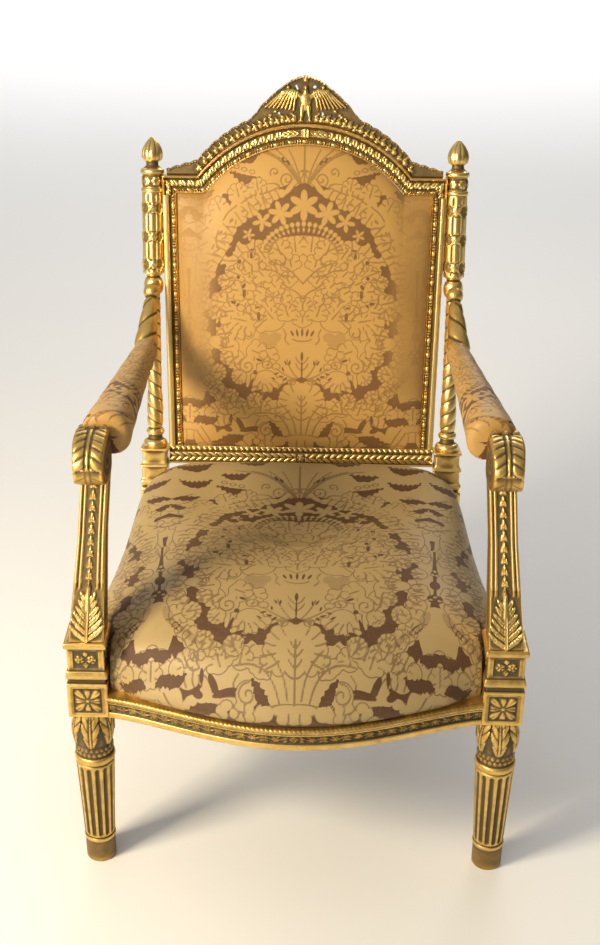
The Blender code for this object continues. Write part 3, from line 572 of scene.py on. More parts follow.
build_pair(make_front_leg(), "leg_front", gold_painted_shade)
build_pair(make_post(), "post", gold)


# Frame of the back.

SHOULDER_RISE = 0.5275
ARCH_RISE = 0.0911
ARCH_HALF = 0.190
SHOULDER_BAND = 0.0320
ARCH_BAND = 0.0386
BOTTOM_BAND = 0.034
STILE_WIDTH = 0.0257
FRAME_BACK = 0.028
FRAME_FOOT_X = POST_X - PLINTH / 2 - GAP
FRAME_HEAD_X = 0.2530
INNER_HALF = ARCH_HALF - 0.4 * SHOULDER_BAND
SHOULDER_INNER = SHOULDER_RISE - SHOULDER_BAND
INNER_ARCH = SHOULDER_RISE + ARCH_RISE - ARCH_BAND - SHOULDER_INNER
RAIL_JOINT = SHOULDER_INNER - 0.004


def arc(x, half, rise):
    radius = (half * half + rise * rise) / (2 * rise)
    return np.where(np.abs(x) < half, np.sqrt(np.maximum(radius * radius - x * x, 0)) - (radius - rise), 0.0)


def outer_rise(x):
    return SHOULDER_RISE + arc(x, ARCH_HALF, ARCH_RISE)


def inner_rise(x):
    return SHOULDER_INNER + arc(x, INNER_HALF, INNER_ARCH)


def frame_edge(rise):
    return FRAME_FOOT_X + (FRAME_HEAD_X - FRAME_FOOT_X) * unit(rise / SHOULDER_RISE)


def opening_edge(rise):
    return frame_edge(rise) - STILE_WIDTH


def bead_and_reel(along, off, width, repeat=0.0262):
    """Long beads with three discs between them; off is the distance from the row's middle."""
    local = np.abs(cell(along, repeat))
    shape = dome(np.hypot(local / 0.0060, off / width))
    for away in (np.abs(local - 0.0084), np.abs(repeat / 2 - local)):
        shape = np.maximum(shape, dome(np.hypot(away / 0.0017, off / (width * 1.02))))
    return shape


def leaf_row(along, off, length, pitch=0.0150):
    """Upright leaves in a row with darts between; off runs 0 to length across the band."""
    rise = unit(off / length)
    local = np.abs(cell(along, pitch))
    half = pitch * 0.46 * (0.55 + 0.45 * np.sin(rise * math.pi)) * (1 - 0.75 * soft((rise - 0.62) / 0.38))
    leaf = dome(unit(local / half)) ** 0.7
    veins = 0.5 + 0.5 * np.cos((rise + local / pitch) * 5 * TURN)
    dart = np.abs(cell(along + pitch / 2, pitch))
    spear = dome(unit(dart / (pitch * 0.11 * (0.4 + rise)))) * soft((rise - 0.25) / 0.2)
    ends = soft(rise / 0.10) * soft((1 - rise) / 0.06)
    return ends * np.maximum(leaf * (0.72 + 0.20 * veins - 0.40 * bell(local, 0.0011)), 0.62 * spear)


def band(outer, inner, profile, carve, columns=44, flip=False):
    """Moulded band between two lines of the back's plane; profile is (share, out) knots."""
    knots = np.array(profile)
    share = np.linspace(0, 1, columns)
    out = np.concatenate([np.interp(share, knots[:, 0], knots[:, 1]),
                          np.array((-0.4, -1, -1, -1, -0.4)) * FRAME_BACK])
    share, row = np.meshgrid(np.concatenate([share, [1.0, 1.0, 0.5, 0.0, 0.0]]), np.arange(len(outer)))
    x, rise = (outer[row, axis] + (inner[row, axis] - outer[row, axis]) * share for axis in (0, 1))
    length = run_length((outer + inner) / 2)
    front = np.zeros_like(x)
    front[:, 2:columns - 2] = 1.0
    height, ground = carve((length - length[-1] / 2)[row], share, np.linalg.norm(inner - outer, axis=1)[row])
    base = back_point(x, rise, np.broadcast_to(out, x.shape))
    return Piece().grid(base, height * front, ground=ground * front, scale=0.0005, flip=flip)


RAIL_PROFILE = [
    (0.0, -0.003), (0.015, -0.0005), (0.05, 0.0025), (0.11, 0.0042), (0.17, 0.0025), (0.205, -0.0005),
    (0.235, -0.0030), (0.27, -0.0030), (0.29, 0.0), (0.62, 0.0012), (0.645, -0.0022), (0.69, -0.0025),
    (0.70, -0.0010), (0.93, -0.0010), (0.945, -0.0030), (0.965, 0.0012), (0.985, 0.0020), (1.0, 0.0)]
STILE_PROFILE = [
    (0.0, -0.004), (0.02, -0.0010), (0.06, 0.0024), (0.18, 0.0036), (0.36, 0.0034), (0.44, 0.0010),
    (0.47, -0.0030), (0.55, -0.0038), (0.60, -0.0010), (0.88, -0.0010), (0.90, -0.0030), (0.94, 0.0010),
    (0.97, 0.0020), (1.0, 0.0)]
BOTTOM_PROFILE = [
    (0.0, -0.002), (0.02, 0.0012), (0.05, 0.0022), (0.10, 0.0020), (0.12, -0.0010), (0.15, -0.0020),
    (0.17, 0.0), (0.66, 0.0), (0.68, -0.0020), (0.72, -0.0020), (0.735, -0.0008), (0.95, -0.0008),
    (0.96, -0.002), (0.98, 0.001), (1.0, 0.0)]


def beads_over(inside, carved, rise, sink, row, beads, bead_rise):
    """Height and ground of a carved strip with a row of beads next to it."""
    height = np.where(row, bead_rise * beads - 0.0008, np.where(inside, rise * carved - sink, 0.0))
    return height, np.where(inside, 0.26 * (carved < 0.25), 0.0) + np.where(row, 0.30 * (beads < 0.2), 0.0)


def rail_carving(along, share, width):
    """Leaf row, then bead and reel; a ribbon ties the leaves at the middle of the arch."""
    side = np.abs(along)
    leaves = leaf_row(along, (share - 0.285) * width, 0.335 * width)
    big = unit((side - 0.010) / 0.034)
    across = np.abs(share - 0.455) / 0.165
    spray = dome(unit(across / np.maximum(np.sin(big * math.pi) ** 0.7, 0.05))) ** 0.7
    spray *= 0.75 + 0.25 * np.cos((big * 4 - across * 1.4) * TURN)
    tie = dome(side / 0.0065) * 1.1 * (0.75 + 0.25 * np.cos(side * TURN / 0.0052))
    leaves = np.where(side < 0.043, np.maximum(spray * (side > 0.0085), tie), leaves)
    beads = bead_and_reel(along, (share - 0.815) * width, 0.0036)
    strip, row = (share > 0.28) & (share < 0.63), (share > 0.70) & (share < 0.93)
    height, ground = beads_over(strip, leaves, 0.0032, 0.0004, row, beads, 0.0036)
    return height, ground + 0.20 * ((share > 0.22) & (share < 0.28)) - 0.34 * (share < 0.20)


def stile_carving(along, share, width):
    beads = bead_and_reel(along, (share - 0.745) * width, 0.0034)
    row = (share > 0.58) & (share < 0.90)
    height, ground = beads_over(False, 0.0, 0.0, 0.0, row, beads, 0.0034)
    return height, ground + 0.22 * ((share > 0.46) & (share < 0.58)) - 0.34 * (share < 0.44)


def bottom_carving(along, share, width):
    """Laurel that runs out both ways from a rosette, under a row of beads."""
    off = (share - 0.42) * width
    far, side, reach = np.abs(off), np.abs(along), 0.0082
    phase = ((side - 1.15 * far) % 0.0125) / 0.0125 - 0.5
    leaf = dome(phase * 2.15) * dome(unit(far / reach)) ** 0.5 * (1 - 0.55 * bell(off, 0.0008))
    leaf = np.where(side < 0.0085, rosette(along, off, 0.0078, 6), leaf)
    beads = dome(np.hypot(cell(along, 0.0098) / 0.0040, (share - 0.845) * width / 0.0034))
    return beads_over(far < reach, leaf, 0.0030, 0.0006, (share > 0.74) & (share < 0.95), beads, 0.0034)


def make_top_rail():
    left_end = [(-frame_edge(RAIL_JOINT), RAIL_JOINT, -opening_edge(RAIL_JOINT), RAIL_JOINT),
                (-frame_edge(SHOULDER_RISE), SHOULDER_RISE, -opening_edge(RAIL_JOINT), SHOULDER_INNER)]
    right_end = [(-outer_x, outer, -inner_x, inner) for outer_x, outer, inner_x, inner in left_end[::-1]]
    fan = math.pi / 2 * 0.8
    inner_x = INNER_HALF * np.sin(fan * np.linspace(-1, 1, 61)) / math.sin(fan)
    outer_x = inner_x * ARCH_HALF / INNER_HALF
    arch = np.stack([outer_x, outer_rise(outer_x), inner_x, inner_rise(inner_x)], axis=1)
    line = resample([*left_end, *arch, *right_end], 0.0019)
    return band(line[:, :2], line[:, 2:], RAIL_PROFILE, rail_carving)


def make_stile():
    rises = np.linspace(BOTTOM_BAND + GAP, RAIL_JOINT - GAP, 270)
    outer, inner = (np.stack([-edge(rises), rises], axis=1) for edge in (frame_edge, opening_edge))
    return band(outer, inner, STILE_PROFILE, stile_carving, columns=34)


def make_bottom_rail():
    x = np.linspace(-FRAME_FOOT_X, FRAME_FOOT_X, 300)
    outer, inner = (np.stack([x, np.full_like(x, rise)], axis=1) for rise in (0.0, BOTTOM_BAND))
    return band(outer, inner, BOTTOM_PROFILE, bottom_carving, columns=40, flip=True)


make_top_rail().build("carved_top_rail", gold, "top_rail", angle=55)
build_pair(make_stile(), "stile", gold, angle=55)
make_bottom_rail().build("carved_bottom_rail", gold, "bottom_rail", angle=55)


# Crest: a bird with spread wings over the middle of the arch, leaves and berries down both slopes.

CREST_END = FRAME_HEAD_X - 0.0185 * 0.5


def crest_top(x):
    side = np.abs(x)
    peak = np.maximum(0.0, 1 - (side / 0.095) ** 1.6)
    fade = unit((CREST_END - side) / (CREST_END - ARCH_HALF))
    scallop = 0.0025 * np.abs(np.sin(side * math.pi / 0.017)) * soft((side - 0.05) / 0.03)
    cap = 0.0016 * np.abs(np.cos(side * math.pi / 0.0115)) * (side < 0.034)
    return outer_rise(x) + GAP + 0.024 * (0.35 + 0.65 * fade) + scallop + cap + 0.055 * peak


def blob(x, y, cx, cy, rx, ry=None, turn=0.0):
    """Raised oval."""
    c, s = math.cos(turn), math.sin(turn)
    dx, dy = x - cx, y - cy
    return dome(np.hypot((dx * c + dy * s) / rx, (dy * c - dx * s) / (ry or rx)))


def stroke(x, y, ax, ay, bx, by, wide, narrow):
    """Raised tapering line from a to b."""
    dx, dy = bx - ax, by - ay
    share = unit(((x - ax) * dx + (y - ay) * dy) / (dx * dx + dy * dy))
    return dome(np.hypot(x - ax - share * dx, y - ay - share * dy) / (wide + (narrow - wide) * share))


def crest_relief(x, rise):
    """Height of the carving in metres, and the raw height in millimetres that its patina follows."""
    signed, side, level = x * 1000, np.abs(x) * 1000, rise * 1000
    over, top = (rise - outer_rise(x)) * 1000, (crest_top(x) - rise) * 1000
    h = np.zeros_like(x)

    def lay(shape, across, gain, *place):
        np.maximum(h, gain * shape(across, level, *place), out=h)

    def slope(cx):
        return float(outer_rise(cx / 1000)) * 1000

    # The bird: head, neck, breast and tail, beak, legs and toes, then its wings and their feathers.
    for gain, *place in ((6.4, 0, 678.5, 3.6, 4.6), (5.8, 0, 671, 5.0, 6.0), (6.6, 0, 658, 10.5, 14.0),
                         (4.6, 0, 645, 8.0, 7.0)):
        lay(blob, signed, gain, *place)
    h += 0.9 * np.cos(level * 1.55) * np.cos(signed * 1.35) * (h > 3.0) * (level < 671) * (level > 646)
    lay(stroke, signed, 7.2, 0.5, 677.5, 0.0, 672.5, 1.7, 0.7)
    for leg in (-7.0, 6.5):
        lay(stroke, signed, 5.2, leg * 0.8, 646, leg, 630, 4.6, 3.2)
        lay(stroke, signed, 4.0, leg, 630, leg * 1.15, 622.5, 2.6, 1.6)
        for toe in (-3.4, 0.0, 3.4):
            lay(stroke, signed, 3.4, leg * 1.1, 625, leg * 1.1 + toe, 620.8, 1.5, 1.2)
    lay(stroke, side, 4.6, 8.0, 663, 22.0, 673, 4.6, 4.2)
    lay(stroke, side, 4.8, 22.0, 673, 39.0, 671.5, 4.4, 3.4)
    for lean in np.arange(8) / 7:
        root = (17 + 25 * lean, 670.5 + 2.0 * math.sin(lean * math.pi) - 1.0 * lean)
        tip = (21 + 49 * lean, 640.5 + 7.5 * lean - 3.0 * lean * lean)
        lay(stroke, side, 4.4 - 0.9 * lean, *root, *tip, 2.3, 2.0)
    for lean in np.arange(6) / 5:
        lay(stroke, side, 4.9, 14 + 20 * lean, 672, 16 + 27 * lean, 661 + 2 * lean, 2.1, 1.8)
    # Balls round the peak, berries with leaves down the slopes, and buds under the wings.
    lay(blob, side, 4.4, 30.5, 679.0, 3.4)
    lay(blob, side, 4.4, 40.0, 671.0, 3.2)
    lay(blob, side, 4.4, 0.0, 691.0, 4.6, 3.6)
    for cx in np.arange(7) * 5.4:
        lay(blob, side, 4.2, cx, 696.4 - 0.0105 * cx * cx, 3.1, 3.4)
    for cx in 20.0 + np.arange(9) * 19.5:
        low = slope(cx)
        lay(blob, side, 5.6, cx, low + (8.0 if cx > 20 else 7.0), 5.2)
        lay(stroke, side, 3.2, cx - 2, low + 12.0, cx + 5, low + 17.0, 3.0, 1.2)
        cx, low = cx + 9.8, slope(cx + 9.8)
        lay(stroke, side, 3.8, cx - 3, low + 5.0, cx + 3.5, low + 14.0, 3.4, 1.6)
        lay(stroke, side, 3.4, cx + 3, low + 5.0, cx - 3.5, low + 11.0, 3.0, 1.4)
    for index in range(5):
        lay(blob, side, 3.3, 52.0 + index * 9.0, 638.0 - index * 6.3, 3.6, 2.6, -0.7)
    rim = bell(top - 2.2, 1.3) * soft((side - 44) / 8) * (0.65 + 0.35 * np.cos(side * TURN / 5.2))
    for edge in (2.6 * rim, 2.4 * bell(top - 2.0, 1.4) * (side < 46), 1.2 * bell(over - 0.8, 0.9)):
        np.maximum(h, edge, out=h)
    return (h - 1.2 * soft(over / 1.5) * soft(top / 1.5)) / 1000, h


def make_crest():
    piece = Piece()
    columns, rows = 352, 56
    u = np.linspace(-1, 1, columns)
    x, v = np.meshgrid(CREST_END * np.sign(u) * np.abs(u) ** 1.18, np.linspace(0, 1, rows))
    low = outer_rise(x) + GAP
    rise = low + (crest_top(x) - low) * v
    height, raw = crest_relief(x, rise)
    edge = soft(np.minimum(v, 1 - v) / 0.035)
    signed, level = x * 1000, rise * 1000
    holes = np.minimum.reduce([
        np.hypot((signed + 15.5 + (level - 679) * 0.25) / 2.6, (level - 679) / 5.2),
        np.hypot((signed - 15.5) / 3.1, (level - 680) / 3.6),
        np.hypot((signed + 46) / 3.0, (level - 634.5) / 2.8),
        np.hypot((signed - 30) / 2.4, (level - 633.5) / 4.6),
    ]) < 1.0
    keep = ~(holes[:-1, :-1] & holes[1:, :-1] & holes[:-1, 1:] & holes[1:, 1:])
    local = blur(height[..., None], 3, 3, False)[..., 0]
    patina = unit(unit(0.66 - raw / 6.0) + 0.22 * np.clip((local - height) / 0.0005, -1, 1))
    front = piece.add(back_point(x, rise, (0.001 + height) * edge - 0.0018 * (1 - edge)), patina)
    piece.faces(front, rows, columns, False, False, keep)
    behind = piece.add(back_point(x, rise, np.full(x.shape, -0.0195)), np.full(x.shape, 0.55))
    piece.faces(behind, rows, columns, False, True, keep)
    # Walls between front and back, round the outside and through the openings.
    index = np.arange(rows * columns).reshape(rows, columns)
    padded = np.pad(keep, 1)
    for dr, dc, first, second in ((-1, 0, (0, 0), (0, 1)), (0, 1, (0, 1), (1, 1)), (1, 0, (1, 1), (1, 0)),
                                  (0, -1, (1, 0), (0, 0))):
        r, c = np.nonzero(keep & ~padded[1 + dr:rows + dr, 1 + dc:columns + dc])
        a, b = (index[r + corner[0], c + corner[1]] for corner in (first, second))
        piece.quads.append(np.stack([front + b, front + a, behind + a, behind + b], axis=1))
    return piece


make_crest().build("carved_crest", gold_crest, "crest_carving", angle=60)


# Seat rails.

RAIL_KNOTS = np.array([
    (-0.004, 0.0), (0.0, 0.0006), (0.0008, 0.0022), (0.0008, 0.0095), (0.0, 0.0106), (-0.0024, 0.0112),
    (-0.0028, 0.0122), (-0.0026, 0.0265), (-0.0010, 0.0274), (0.0016, 0.0280), (0.0034, 0.0292),
    (0.0044, 0.0310), (0.0046, 0.0352), (0.0052, 0.0358), (0.0078, 0.0362), (0.0094, 0.0378),
    (0.0100, 0.0398), (0.0095, 0.0420),
    (0.0072, 0.0436), (0.0, 0.0440)])
SIDE_RAIL_INSET = 0.005
RAIL_BEAD = 0.010


def bow(x):
    return 0.072 * np.cos(math.pi / 2 * np.minimum(1.0, np.abs(x) / (LEG_X - BLOCK / 2))) ** 1.3


def seat_rail(face, outward, carve, columns=46):
    """Seat rail with its moulding outward of the line of its front foot."""
    length = run_length(RAIL_KNOTS)
    even = np.linspace(0, length[-1], columns)
    out, up = (np.interp(even, length, RAIL_KNOTS[:, axis]) for axis in (0, 1))
    out = np.concatenate([out, np.array((-0.5, -1, -1, -0.5)) * RAIL_THICKNESS])
    up = np.concatenate([up, [RAIL_HEIGHT, RAIL_HEIGHT, 0.0, 0.0]])
    base = face[:, None, :] + outward * out[None, :, None] + EZ * up[None, :, None]
    run = run_length(face)
    along, level = np.meshgrid(run - run[-1] / 2, up, indexing="ij")
    height, ground = carve(along, level)
    front = np.zeros_like(along)
    front[:, 1:columns - 1] = 1
    return Piece().grid(base, height * front, ground=ground * front, flip=True, scale=0.0005)


def frieze(along, up):
    """Running stem with curled leaves and berries on a sunk ground, and a roped bead on top."""
    side = np.abs(along)
    middle, pitch = 0.0193, 0.018
    h = 0.8 * dome((up - middle - 0.0030 * np.sin(side * TURN / (2 * pitch))) / 0.0012)
    local = side % pitch - pitch / 2
    sign = np.where(np.floor(side / pitch) % 2 == 0, 1.0, -1.0)
    off = up - middle + sign * 0.0016
    h = np.maximum(h, 0.9 * rosette(local, off, 0.0042, 5))
    for angle, reach in ((0.4, 0.0056), (1.15, 0.0054), (1.95, 0.0054), (2.7, 0.0056), (-0.5, 0.0054),
                         (-2.6, 0.0054)):
        place = (math.cos(angle) * reach, math.sin(angle) * reach, 0.0034, 0.0015, angle + 0.5)
        h = np.maximum(h, 0.9 * blob(local, off * sign, *place))
    h = np.where(side < 0.010, rosette(along, up - middle, 0.0070, 8), h)
    rope = dome(((along / 0.0070 + (up - 0.0398) / 0.0080) % 1 - 0.5) * 2)
    sunk, top = (up > 0.0120) & (up < 0.0268), up > 0.0360
    height = np.where(top, 0.0010 * (rope - 0.5), np.where(sunk, 0.0024 * h - 0.0004, 0.0))
    return height, np.where(top, 0.12 + 0.22 * (rope < 0.35), np.where(sunk, 0.22 * (h < 0.22) + 0.26, 0.0))


def plain_frieze(along, up):
    return np.zeros_like(along), np.where((up > 0.0120) & (up < 0.0268), 0.30, 0.05)


def side_rail_x(y):
    """Outer face of the left seat rail, without its moulding."""
    front = LEG_X + BLOCK / 2 - SIDE_RAIL_INSET - RAIL_BEAD
    back = POST_X + PLINTH / 2 - 2 * SIDE_RAIL_INSET
    return -(front + (back - front) * unit((y - BLOCK) / (POST_BLOCK_Y - PLINTH / 2 - BLOCK)))


front_end = LEG_X - BLOCK / 2 - GAP
x = np.linspace(-front_end, front_end, 360)
front_rail = seat_rail(at(x, -bow(x), LEG_HEIGHT), -EY, frieze)
front_rail.build("carved_seat_rail_front", gold_painted_shade, "seat_rail_front", angle=55)
y = np.linspace(BLOCK + GAP, POST_BLOCK_Y - PLINTH / 2 - GAP, 60)[::-1]
build_pair(seat_rail(at(side_rail_x(y), y, LEG_HEIGHT), -EX, plain_frieze, 34), "seat_rail", gold_painted_shade,
           angle=55)
face = at(np.linspace(FRAME_FOOT_X, -FRAME_FOOT_X, 40), POST_BLOCK_Y + PLINTH / 2 - 0.010, LEG_HEIGHT)
seat_rail(face, EY, plain_frieze, 34).build("carved_seat_rail_back", gold_painted_shade, "seat_rail_back", angle=55)


# Arms and their supports.

KNUCKLE_BACK = 0.106
ARM_FRONT_X = 0.306
COLLAR_Y = 0.503
COLLAR_Z = ARM_HEIGHT + 0.0566 / 2
ARM_BACK_X = POST_X + 0.0045
BALL = back_point(-POST_X, 0.330, -POST_SET_BACK) - EY * (0.0145 * 1.23 + 0.015 + GAP) / math.cos(RAKE)


def support_axis(z):
    share = unit((z - CORNER_TOP - GAP) / (ARM_HEIGHT - CORNER_TOP - 2 * GAP))
    foot_x = LEG_X - 0.0025
    return at(-(foot_x + (0.307 - foot_x) * share), 0.005 + 0.079 * share ** 1.15 + 0.052 / 2, z), EX, EY


def support_relief(side, q, z, half):
    """Front: a leaf below, then two reeds each side of a chain of husks; sides plain."""
    low, far = z - CORNER_TOP, np.abs(q)
    front, x = side == 0, far / half
    upper = soft((low - 0.078) / 0.006)
    reed = np.maximum(dome((x - 0.865) / 0.130), dome((x - 0.575) / 0.120))
    step = ((low - 0.078) % 0.0165) / 0.0165
    husk = dome(unit(far / (0.0058 * (1.08 - step)))) * np.sin(step * math.pi) ** 0.5
    chain = (x < 0.44) * husk * (1 - 0.4 * (np.abs(far - 0.0022 * (0.4 + step)) < 0.0006))
    leaf = np.zeros_like(q)
    mm, level = far * 1000, low * 1000
    for index in range(6):
        foot, reach = 3 + 10.5 * index, 25.5 - 3.0 * index
        middle = (reach * 0.62, foot + 12)
        for place in ((0, foot, *middle, 3.6, 4.4), (*middle, reach, foot + 23 - index, 4.4, 2.0)):
            lobe = stroke(mm, level, *place)
            leaf = np.where(lobe > leaf, lobe - 0.30 * (lobe > 0.93), leaf)
    leaf = np.maximum(leaf, stroke(mm, level, 0, 50, 0, 84, 6.0, 3.0)) * (level < 91)
    leaf = np.maximum(leaf, 1.15 * stroke(mm, level, 1.6, 3, 1.0, 84, 1.5, 0.8))
    height = upper * (0.0022 * reed - 0.0016 + 0.0034 * chain)
    height = height + soft((0.094 - low) / 0.004) * (0.0036 * leaf - 0.0006)
    ground = np.where((x < 0.44) & (low > 0.08), 0.32 * (chain < 0.25) + 0.05, upper * 0.30 * (reed < 0.3))
    ground = np.where(low < 0.090, 0.42 * (leaf < 0.25), ground)
    panel = -0.0012 * soft((0.62 - x) / 0.05) * window(low, 0.02, 0.23, 0.004)
    return np.where(front, height, panel), np.where(front, ground, 0.08 + 0.10 * (x < 0.62))


def make_support():
    z = np.linspace(CORNER_TOP + GAP, ARM_HEIGHT - GAP, 150)
    half = (0.054 + (0.042 - 0.054) * np.minimum(1, np.linspace(0, 1, 150) * 1.6)) / 2
    knots = [(z[0], half[0] * 0.6), *zip(z, half), (z[-1], half[-1] * 0.6)]
    return square(Piece(), knots, support_axis, support_relief, counts=(50, 16, 8, 16), step=0.0017,
                  round_edge=0.002)


def arm_x(y):
    return -(ARM_BACK_X + (ARM_FRONT_X - ARM_BACK_X) * unit((COLLAR_Y - y) / (COLLAR_Y - KNUCKLE_BACK)))


def make_arm():
    """Ball and twisted stem, collar, flat rail under the pad, and the carved knuckle."""
    piece = Piece()
    axis = np.array((-ARM_BACK_X, COLLAR_Y + 0.003, COLLAR_Z + 0.008)) - BALL
    reach = float(np.linalg.norm(axis))
    axis = axis / reach
    deep = np.cross(axis, EX)
    deep = deep / np.linalg.norm(deep)

    def stem_axis(t):
        return BALL + t[..., None] * axis, EX, deep

    def twist(theta, t, radius):
        inside = soft((t - 0.017) / 0.003) * soft((reach - t) / 0.004)
        strand = ropes(theta * 2 / TURN - t / 0.040)
        height = inside * 0.20 * radius * (dome(strand * 0.98) - 0.4)
        return height, inside * 0.45 * soft((strand - 0.74) / 0.2)

    def collar_axis(y):
        return at(-ARM_BACK_X, COLLAR_Y - y, COLLAR_Z), EX * 0.72, EZ

    knots = [(-0.015 * math.cos(a), 0.015 * math.sin(a)) for a in np.linspace(0.02, math.pi * 0.80, 24)]
    knots += [(0.0145, 0.0090), (0.0165, 0.0098), (0.0200, 0.0105)]
    knots += [(0.020 + (reach - 0.020) * s, 0.0110 + 0.0080 * s) for s in np.linspace(0.1, 1, 10)]
    lathe(piece, knots, stem_axis, twist, count=56, step=0.0018)
    knots = [(-0.0035, 0.0200)] + bead(-0.003, 0.003, 0.0255, 0.0025, 8) + [(0.0032, 0.0200)]
    lathe(piece, knots, collar_axis, count=48, step=0.001)
    half = [(0.93, 0.0), (1.0, 0.12), (1.0, 0.45), (0.90, 0.55), (0.90, 1.0)]
    outline = [(-1.0, 0.12), (-0.93, 0.0), *half, (-0.90, 1.0), (-0.90, 0.55), (-1.0, 0.45), (-1.0, 0.12)]
    ring = resample(outline, 0.12)[:-1]
    y = np.linspace(COLLAR_Y - 0.003, KNUCKLE_BACK - 0.004, 45)[:, None]
    piece.grid(at(arm_x(y) + ring[:, 0] * 0.036 * 0.37, y, ARM_HEIGHT + 0.0005 + ring[:, 1] * 0.0215),
               ground=0.12)
    return add_knuckle(piece)


def add_knuckle(piece):
    """Scrolled hand rest: round a sideways axis, carved with a parted leaf whose tips curl up at the pad."""
    centre = (-ARM_FRONT_X, 0.068, 0.7265)
    cheek = np.linspace(0.03, 0.94, 14, endpoint=False)
    across = np.concatenate([np.full(14, -1.0), [-0.985, -0.94], np.linspace(-0.90, 0.90, 52),
                             [0.94, 0.985], np.full(14, 1.0)])
    radial = np.concatenate([cheek, [0.965, 0.992], np.full(52, 1.0), [0.992, 0.965], cheek[::-1]])
    phi, q = np.meshgrid(np.linspace(0, TURN, 160, endpoint=False), across)
    rho = np.broadcast_to(radial[:, None], phi.shape)
    c, s = np.cos(phi), np.sin(phi)
    a = np.where(c > 0, 0.0450, KNUCKLE_BACK - centre[1])
    b = np.where(s > 0, 0.0375, 0.0355)
    power = np.where(c > 0, 2.35, 5.0)
    size = rho * (np.abs(c / a) ** power + np.abs(s / b) ** power) ** (-1 / power)
    size = size * (1 - 0.20 * unit(c) * unit(s))
    half = 0.0245 * (1 - 0.10 * unit(c) ** 2)
    x, outer = np.abs(q), rho > 0.985
    run = phi / TURN * 0.235 - 0.235 * (phi > math.pi)
    visible = soft(phi / 0.05) * soft((math.radians(150) - phi) / 0.15) + (phi > math.radians(292))
    lobe = dome((((run + 0.30) / 0.0140 + x * 0.9) % 1 - 0.5) * 2.05)
    leaf = 0.0034 * dome((x - 0.50) / 0.46) * (0.35 + 0.65 * lobe)
    trough = bell(x - 0.17, 0.07)
    tips = np.maximum(dome(x / 0.22), dome((x - 0.66) / 0.24))
    swirl = 0.5 + 0.5 * np.cos(TURN * (rho * 2.6 - phi / TURN))
    h = outer * visible * (leaf + 0.0026 * bell(x, 0.085) - 0.0012 * trough)
    h = h * (1 - soft((phi - math.radians(112)) / 0.15))
    h += outer * bell(phi - math.radians(128), 0.13) * 0.0062 * tips
    h = np.where(rho < 0.95, 0.0010 * swirl * soft(rho / 0.15), h)
    ground = outer * visible * (0.40 * (lobe < 0.45) * (x > 0.25) + 0.35 * trough)
    ground = ground + np.where(rho < 0.95, 0.30 + 0.25 * (1 - swirl), 0.0)
    ground = ground + outer * 0.35 * soft((phi - math.radians(100)) / 0.2) * (phi < math.pi) * (tips < 0.3)
    base = at(centre[0] + q * half, centre[1] - size * c, centre[2] + size * s)
    return piece.grid(base, h, ground=ground, flip=True, scale=0.0007)


build_pair(make_support(), "arm_support", gold)
build_pair(make_arm(), "arm", gold_painted_shade)


# Pattern of the silk.

def smooth_line(knots, rounds=2):
    """Cuts the corners of a line of points, with its ends kept."""
    for _ in range(rounds if len(knots) > 2 else 0):
        first, second = knots[:-1], knots[1:]
        cut = np.stack([0.75 * first + 0.25 * second, 0.25 * first + 0.75 * second], axis=1)
        knots = np.concatenate([knots[:1], cut.reshape(-1, knots.shape[1])[1:-1], knots[-1:]])
    return knots


